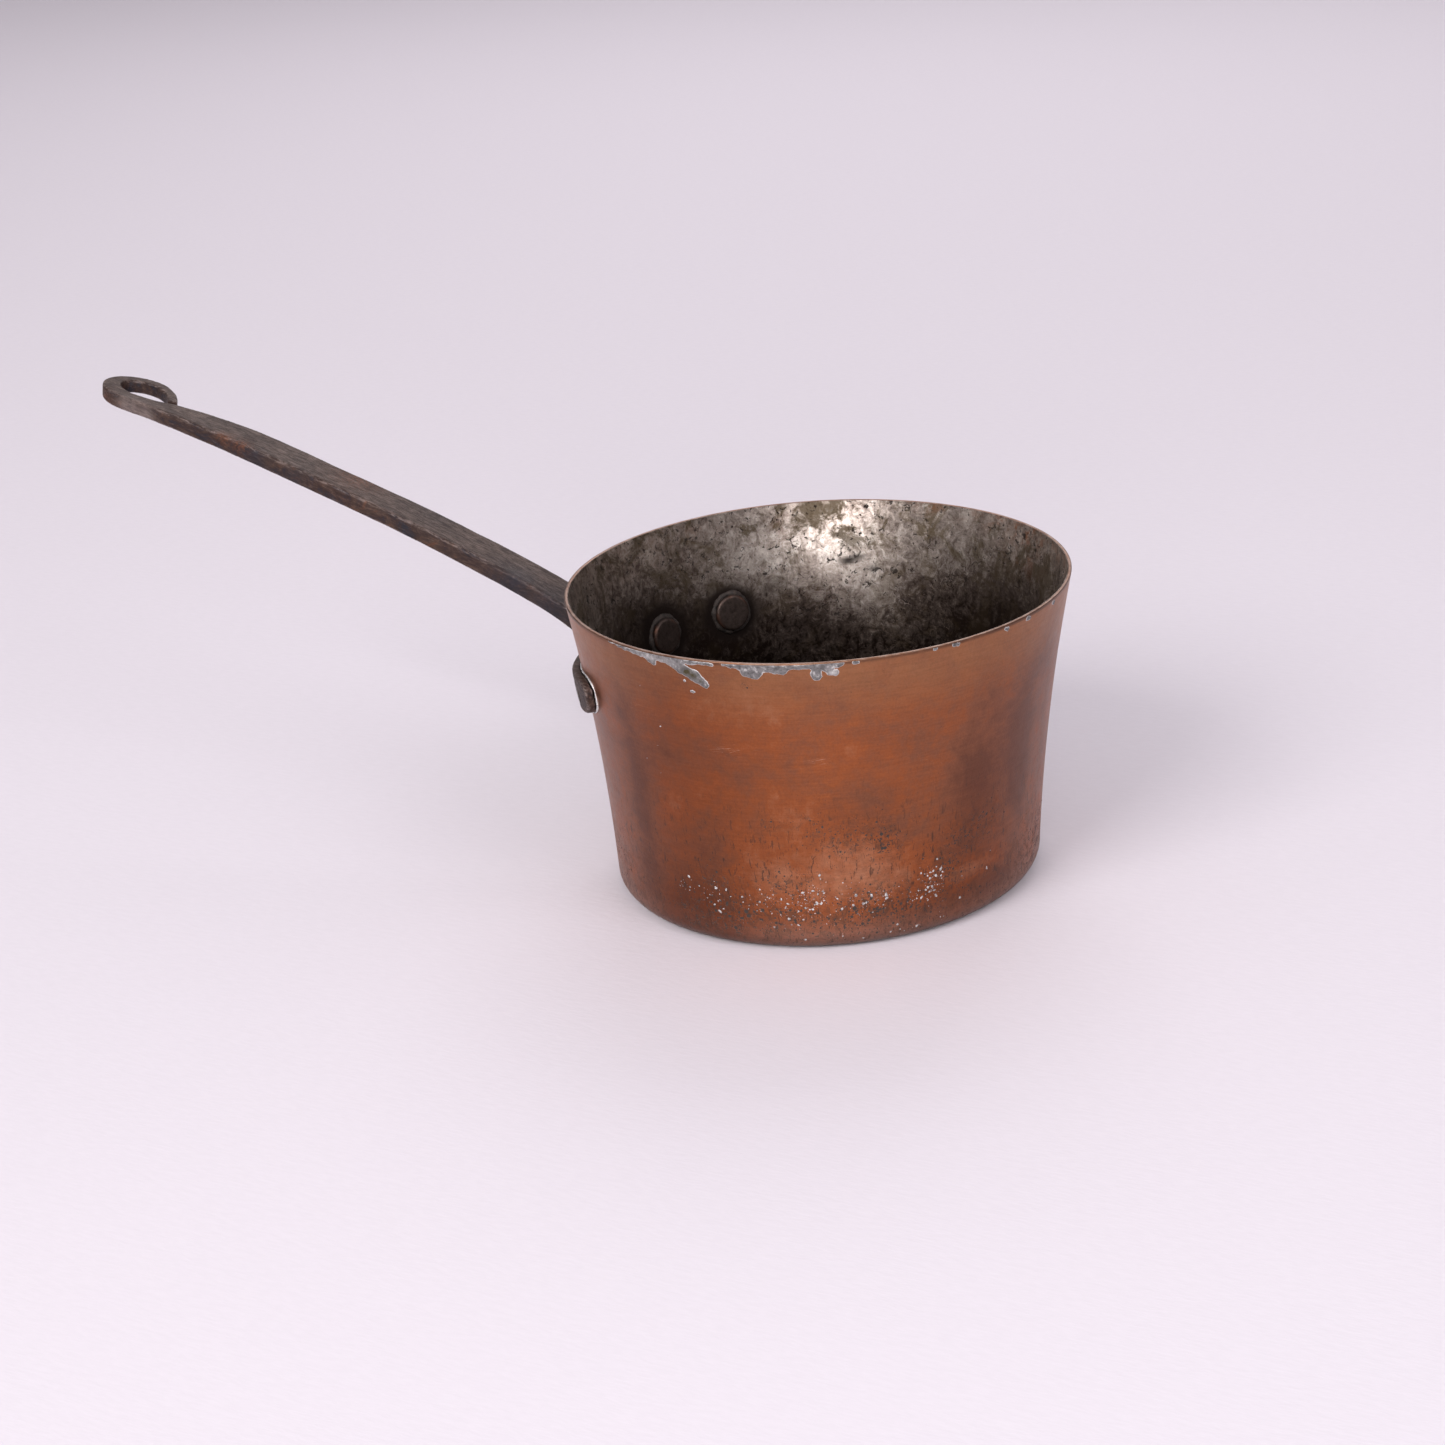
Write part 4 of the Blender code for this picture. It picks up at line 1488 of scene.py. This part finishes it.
@dataclass
class RivetCrust:
    """Burnt-on dirt that has gathered in a ring round each rivet head."""

    rivets: Rivets
    bead: RunningBead
    steps: int = 72
    thinnest: float = 0.55 * MM
    thickest: float = 1.25 * MM
    lump: float = 3 * MM
    lift: float = 0.15 * MM
    spare: float = 0.25 * MM
    sides: int = 8
    seed: float = 6.0

    def build(self, lining: Probe) -> bpy.types.Object:
        """Runs a bead round each head, where it meets the lining.

        Args:
            lining: Finds the lining's real surface.

        Returns:
            The piece.
        """
        rings = bmesh.new()
        reach = self.rivets.head_radius + self.spare
        for angle, height in self.rivets.places:
            stand = lining.inside(angle, height, self.lift)
            ring = []
            for i in range(self.steps):
                turn = math.tau * i / self.steps
                place = Vector((reach * math.cos(turn), reach * math.sin(turn), 0.0))
                ring.append(rings.verts.new(stand @ place))
            for i, vertex in enumerate(ring):
                rings.edges.new((vertex, ring[(i + 1) % self.steps]))
        path = bpy.data.meshes.new("crust_path")
        rings.to_mesh(path)
        rings.free()
        piece = self.bead.run("rivet_crust", path, Thinnest=self.thinnest, Thickest=self.thickest,
                              Lump_Size=self.lump, Sides=self.sides, Seed=self.seed,
                              Material=BURNT_CRUMBS.material())
        return hand_over(piece, Slot.RIVET)


@dataclass(frozen=True)
class SpeckKind:
    """One kind of speck, with how many there are to a square metre where they are thickest."""

    name: str
    layer: str
    finish: Crumbs
    slot: Slot
    density: float
    smallest: float
    largest: float
    seed: int


@dataclass
class Specks:
    """Specks stuck to the bowl: bright drops of tin near the base, and burnt crumbs."""

    bowl: CopperBowl
    kinds: tuple[SpeckKind, ...] = (
        SpeckKind("tin_specks", "bright", BRIGHT_CRUMBS, Slot.TIN, 9.5e5,
                  0.18 * MM, 0.95 * MM, 11),
        SpeckKind("burnt_specks", "burnt", BURNT_CRUMBS, Slot.COPPER, 3.8e5,
                  0.14 * MM, 0.56 * MM, 12))
    top: float = 99 * MM
    flatness: float = 0.28
    roughness: float = 0.95
    bright_places: tuple[Patch, ...] = (
        Patch(290, 17, 8, 4.5, 0.8), Patch(292.3, 21, 2.5, 3, 0.9), Patch(299.3, 22.6, 2, 1.5, 0.8),
        Patch(304, 15.5, 4, 2.5, 0.6), Patch(308.5, 17.4, 3, 2, 0.9), Patch(322.5, 20, 3.5, 3.5, 1.3),
        Patch(322.8, 14.5, 3, 2, 0.9), Patch(317.1, 15.2, 2, 1.5, 0.8), Patch(264, 19, 4, 3, 0.5),
        Patch(257, 19.5, 3, 2, 0.4), Patch(265, 12.7, 3, 3, 0.3), Patch(320, 4.5, 9, 1.2, 0.4),
        Patch(300, 15, 30, 7, 0.14), Patch(280, 17, 6, 4, 0.45), Patch(252, 70, 8, 20, 0.01),
        Patch(100, 15, 30, 5, 0.12))

    def build(self, copper: bpy.types.Object) -> None:
        """Scatters both kinds of speck over the copper's outer face.

        Args:
            copper: The finished bowl.
        """
        skin = self.outer_skin(copper.data)
        lump = self.lump()
        for kind in self.kinds:
            piece = Scatter(kind.layer).run(kind.name, skin.copy(), Lump=lump, Density=kind.density,
                                            Smallest=kind.smallest, Largest=kind.largest,
                                            Flatness=self.flatness, Seed=kind.seed,
                                            Material=kind.finish.material())
            hand_over(piece, kind.slot)
        bpy.data.objects.remove(lump, do_unlink=True)

    def outer_skin(self, copper: bpy.types.Mesh) -> bpy.types.Mesh:
        """The copper's outer wall alone, painted with where each kind of speck sits.

        Args:
            copper: The finished bowl's mesh.

        Returns:
            The mesh that the specks are scattered on.
        """
        shell = bmesh.new()
        shell.from_mesh(copper)
        strays = []
        for face in shell.faces:
            centre = face.calc_center_median()
            outward = face.normal.x * centre.x + face.normal.y * centre.y
            if outward < 0.5 * math.hypot(centre.x, centre.y) or centre.z > self.top:
                strays.append(face)
        bmesh.ops.delete(shell, geom=strays, context="FACES")
        skin = bpy.data.meshes.new("speck_ground")
        shell.to_mesh(skin)
        shell.free()
        points = vertices(skin)
        paint(skin, "bright", cover(points, self.bright_places))
        grime = cover(points, self.bowl.grimy_places)
        paint(skin, "burnt", np.clip(grime, 0, 1) ** 1.5)
        return skin

    def lump(self) -> bpy.types.Object:
        """A small irregular lump, one unit across."""
        shape = bmesh.new()
        bmesh.ops.create_icosphere(shape, subdivisions=2, radius=0.5)
        for vertex in shape.verts:
            vertex.co *= 1.0 + self.roughness * noise.noise(vertex.co * 3.4 + Vector((0.7, 2.1, 0.3)))
        mesh = bpy.data.meshes.new("lump")
        shape.to_mesh(mesh)
        shape.free()
        return in_scene("lump", mesh)


@dataclass
class ForgedHandle:
    """Strap, bar and hanging loop: one forging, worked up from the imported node's own mesh."""

    node: str = "handle"
    voxel: float = 0.5 * MM
    facet_depth: float = 0.34 * MM
    facet_size: float = 12 * MM
    skin_depth: float = 0.12 * MM
    skin_size: float = 2.0 * MM
    strap_edge: float = -76 * MM
    # share of the lighter top colour given to the strap: partly wear, partly painted light
    strap_wear_and_light: float = 0.38
    level: float = 0.70
    soft_bend: float = 150.0
    bend_range: float = 350.0
    smoothings: int = 2
    glowing: Spots = (
        ((-0.269, -0.0040, 0.138), 5.5 * MM), ((-0.262, -0.0050, 0.136), 4.5 * MM))
    blued: Spots = (
        ((-0.112, -0.0085, 0.088), 9 * MM), ((-0.098, -0.0090, 0.082), 9 * MM),
        ((-0.213, -0.0085, 0.123), 4 * MM), ((-0.198, -0.0085, 0.119), 4 * MM),
        ((-0.150, 0.0085, 0.100), 7 * MM))
    rusting: Spots = (
        ((-0.226, -0.0070, 0.1325), 3.5 * MM), ((-0.219, -0.0072, 0.1305), 3.5 * MM),
        ((-0.281, 0.0010, 0.139), 3.5 * MM), ((-0.180, 0.0078, 0.114), 10 * MM))

    def build(self, marks: ForgeMarks) -> bpy.types.Object:
        """Rounds the forging's edges, paints its wear, its painted light on the top and ridges and
        its rust, and works in the hammer marks.

        Args:
            marks: The tree that works in the marks.

        Returns:
            The piece.
        """
        shape = bmesh.new()
        shape.from_mesh(frame["nodes"][self.node].data)
        bmesh.ops.remove_doubles(shape, verts=shape.verts, dist=1e-6)
        mesh = bpy.data.meshes.new("forging_blank")
        shape.to_mesh(mesh)
        shape.free()
        mesh.materials.clear()
        blank = in_scene("forging_blank", mesh)
        grid = blank.modifiers.new("voxels", "REMESH")
        grid.mode = "VOXEL"
        grid.voxel_size = self.voxel
        ease = blank.modifiers.new("ease", "SMOOTH")
        ease.factor = 0.5
        ease.iterations = 3
        eased = plain_copy(blank, "eased_forging")
        # painted highlight with edge wear on the arrises
        paint(eased.data, "ridge", self.ridges(eased.data))
        # partly painted light: faces that point up, and the strap in part, are marked to take the
        # lighter top colour
        up = vertices(eased.data, "normals")[:, 2]
        inward = vertices(eased.data)[:, 0] - self.strap_edge
        strap = self.strap_wear_and_light * smooth_step(inward / (8 * MM))
        paint(eased.data, "topside", np.maximum(smooth_step((up - self.level) / 0.18), strap))
        paint(eased.data, "glow", self.near(eased.data, self.glowing))
        paint(eased.data, "embers", self.near(eased.data, self.rusting))
        paint(eased.data, "bluing", self.near(eased.data, self.blued))
        piece = marks.run("forged_handle", eased.data.copy(), Facet_Depth=self.facet_depth,
                          Facet_Size=self.facet_size, Skin_Depth=self.skin_depth,
                          Skin_Size=self.skin_size, Material=BlackIron().material())
        bpy.data.objects.remove(eased, do_unlink=True)
        return hand_over(piece, Slot.IRON, self.node)

    def near(self, mesh: bpy.types.Mesh, spots: Spots) -> np.ndarray:
        """How close each point is to one of some spots.

        Args:
            mesh: The rounded forging.
            spots: Centres and how far each reaches.

        Returns:
            One number for each point, 1 at a centre.
        """
        points = vertices(mesh)
        found = np.zeros(len(points))
        for centre, reach in spots:
            away = np.linalg.norm(points - np.array(centre), axis=1) / reach
            found = np.maximum(found, np.exp(-away ** 2))
        return found

    def ridges(self, mesh: bpy.types.Mesh) -> np.ndarray:
        """How sharply the surface bends outwards at each point.

        Args:
            mesh: The rounded forging.

        Returns:
            One number for each point, 1 on an arris.
        """
        points = vertices(mesh)
        normals = vertices(mesh, "normals")
        edges = np.empty(len(mesh.edges) * 2, dtype=np.int64)
        mesh.edges.foreach_get("vertices", edges)
        a, b = edges.reshape(-1, 2).T
        step = points[b] - points[a]
        length = np.linalg.norm(step, axis=1) + 1e-9
        bend = np.einsum("ij,ij->i", normals[b] - normals[a], step) / length ** 2
        total = np.bincount(a, bend, len(points)) + np.bincount(b, bend, len(points))
        count = np.bincount(a, minlength=len(points)) + np.bincount(b, minlength=len(points))
        bend = total / np.maximum(count, 1)
        for _ in range(self.smoothings):
            mixed = np.bincount(a, bend[b], len(points)) + np.bincount(b, bend[a], len(points))
            bend = 0.5 * bend + 0.5 * mixed / np.maximum(count, 1)
        return smooth_step((bend - self.soft_bend) / self.bend_range)


# ---------------------------------------------------------------- studio


@dataclass(frozen=True)
class Lamp:
    """One soft light: its place, its width and height, its power in watts and its beam's angle."""

    name: str
    place: Place
    size: tuple[float, float]
    power: float
    colour: Colour
    spread: float = 180.0


@dataclass
class Studio:
    """Pale floor, soft lights and the camera, which stands round from -Y by its azimuth."""

    azimuth: float = 27.5
    elevation: float = 21.386
    roll: float = -3.174
    distance: float = 1.0
    aim: Place = (-0.0320, -0.0116, 0.0503)
    lens: float = 74.74
    sensor: float = 36.0
    floor_radius: float = 4.0
    floor_tone: Colour = (0.655, 0.610, 0.662)
    sky_tone: Colour = (0.86, 0.82, 0.86)
    lamps: tuple[Lamp, ...] = (
        Lamp("key_light", (-0.445, -1.946, 1.48), (1.17, 1.17), 43.0, (1.0, 0.985, 0.97)),
        Lamp("fill_light", (1.1, -0.5, 1.1), (0.8, 0.8), 7.0, (0.97, 0.97, 1.0)),
        Lamp("back_light", (-0.6, 1.7, 1.6), (1.4, 1.4), 18.0, (1.0, 0.98, 1.0)),
        Lamp("low_light", (1.02, -2.23, 0.43), (1.82, 0.65), 5.4, (1.0, 0.985, 0.975), 60.0))

    def build(self) -> None:
        """Sets everything that isn't the pan."""
        self.camera()
        self.floor()
        self.sky()
        for lamp in self.lamps:
            self.hang(lamp)
        bpy.context.scene.view_settings.view_transform = "Standard"

    def camera(self) -> None:
        """Places the camera by its angles round the point that it looks at."""
        turn, tilt = math.radians(self.azimuth), math.radians(self.elevation)
        forward = Vector((-math.sin(turn) * math.cos(tilt), math.cos(turn) * math.cos(tilt),
                          -math.sin(tilt)))
        lens = bpy.data.cameras.new("camera")
        lens.lens = self.lens
        lens.sensor_width = self.sensor
        lens.clip_start = 0.01
        camera = bpy.data.objects.new("camera", lens)
        bpy.context.collection.objects.link(camera)
        level = forward.to_track_quat("-Z", "Y").to_matrix().to_4x4()
        rolled = level @ Matrix.Rotation(math.radians(self.roll), 4, "Z")
        camera.matrix_world = Matrix.Translation(Vector(self.aim) - forward * self.distance) @ rolled
        bpy.context.scene.camera = camera

    def floor(self) -> None:
        """Lays a round floor under the pan."""
        shape = bmesh.new()
        bmesh.ops.create_circle(shape, cap_ends=True, segments=96,
                                radius=self.floor_radius)
        mesh = bpy.data.meshes.new("floor")
        shape.to_mesh(mesh)
        shape.free()
        f = Finish("pale_floor")
        weave = f.grain(0.0016, f.stretched((0.3, 1, 1)), 4.0, 0.7)
        darker = tuple(c * 0.97 for c in self.floor_tone)
        colour = f.mix(f.span(weave, 0.3, 0.7), darker, self.floor_tone)
        mesh.materials.append(f.dress(colour, 0.85, 0.0, weave, 0.1 * MM))
        floor = in_scene("floor", mesh)

    def sky(self) -> None:
        """Lights the room softly from all round, a little darker low down."""
        world = bpy.data.worlds.new("studio")
        world.use_nodes = True
        bpy.context.scene.world = world
        tree = Graph(world.node_tree)
        way = tree.add("ShaderNodeTexCoord").outputs["Generated"]
        height = tree.add("ShaderNodeSeparateXYZ", {0: way}).outputs[2]
        background = world.node_tree.nodes["Background"]
        background.inputs["Color"].default_value = (*self.sky_tone, 1.0)
        tree.feed(background.inputs["Strength"], tree.span(height, -0.2, 0.9, 0.28, 0.62))

    def hang(self, lamp: Lamp) -> None:
        """Hangs a light so that it looks at the pan.

        Args:
            lamp: The light.
        """
        light = bpy.data.lights.new(lamp.name, "AREA")
        light.spread = math.radians(lamp.spread)
        light.shape = "RECTANGLE"
        light.size, light.size_y = lamp.size
        light.energy = lamp.power
        light.color = lamp.colour
        hung = bpy.data.objects.new(lamp.name, light)
        hung.visible_camera = False
        bpy.context.collection.objects.link(hung)
        aim = Vector(self.aim) - Vector(lamp.place)
        turned = aim.to_track_quat("-Z", "Y").to_matrix().to_4x4()
        hung.matrix_world = Matrix.Translation(lamp.place) @ turned


def main() -> None:
    """Builds the saucepan and its studio, and notes how big the result is."""
    logging.basicConfig(level=logging.INFO, format="%(name)s: %(message)s")
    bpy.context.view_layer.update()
    Studio().build()
    shape = BowlShape.from_frame()
    turned = TurnedForm()
    bead = RunningBead()
    rivets = Rivets(shape)
    bowl = CopperBowl(shape, turned)
    copper = bowl.build()
    outside = Probe(copper, shape)
    inside = Probe(TinLining(bowl).build(rivets), shape)
    rivets.build(turned, RivetRow())
    RivetCrust(rivets, bead).build(inside)
    TinSplashes(bowl).build(outside)
    SolderSeam(StrapOutline(shape), bead).build(outside)
    Specks(bowl).build(copper)
    ForgedHandle().build(ForgeMarks())


if __name__ == "__main__":
    main()
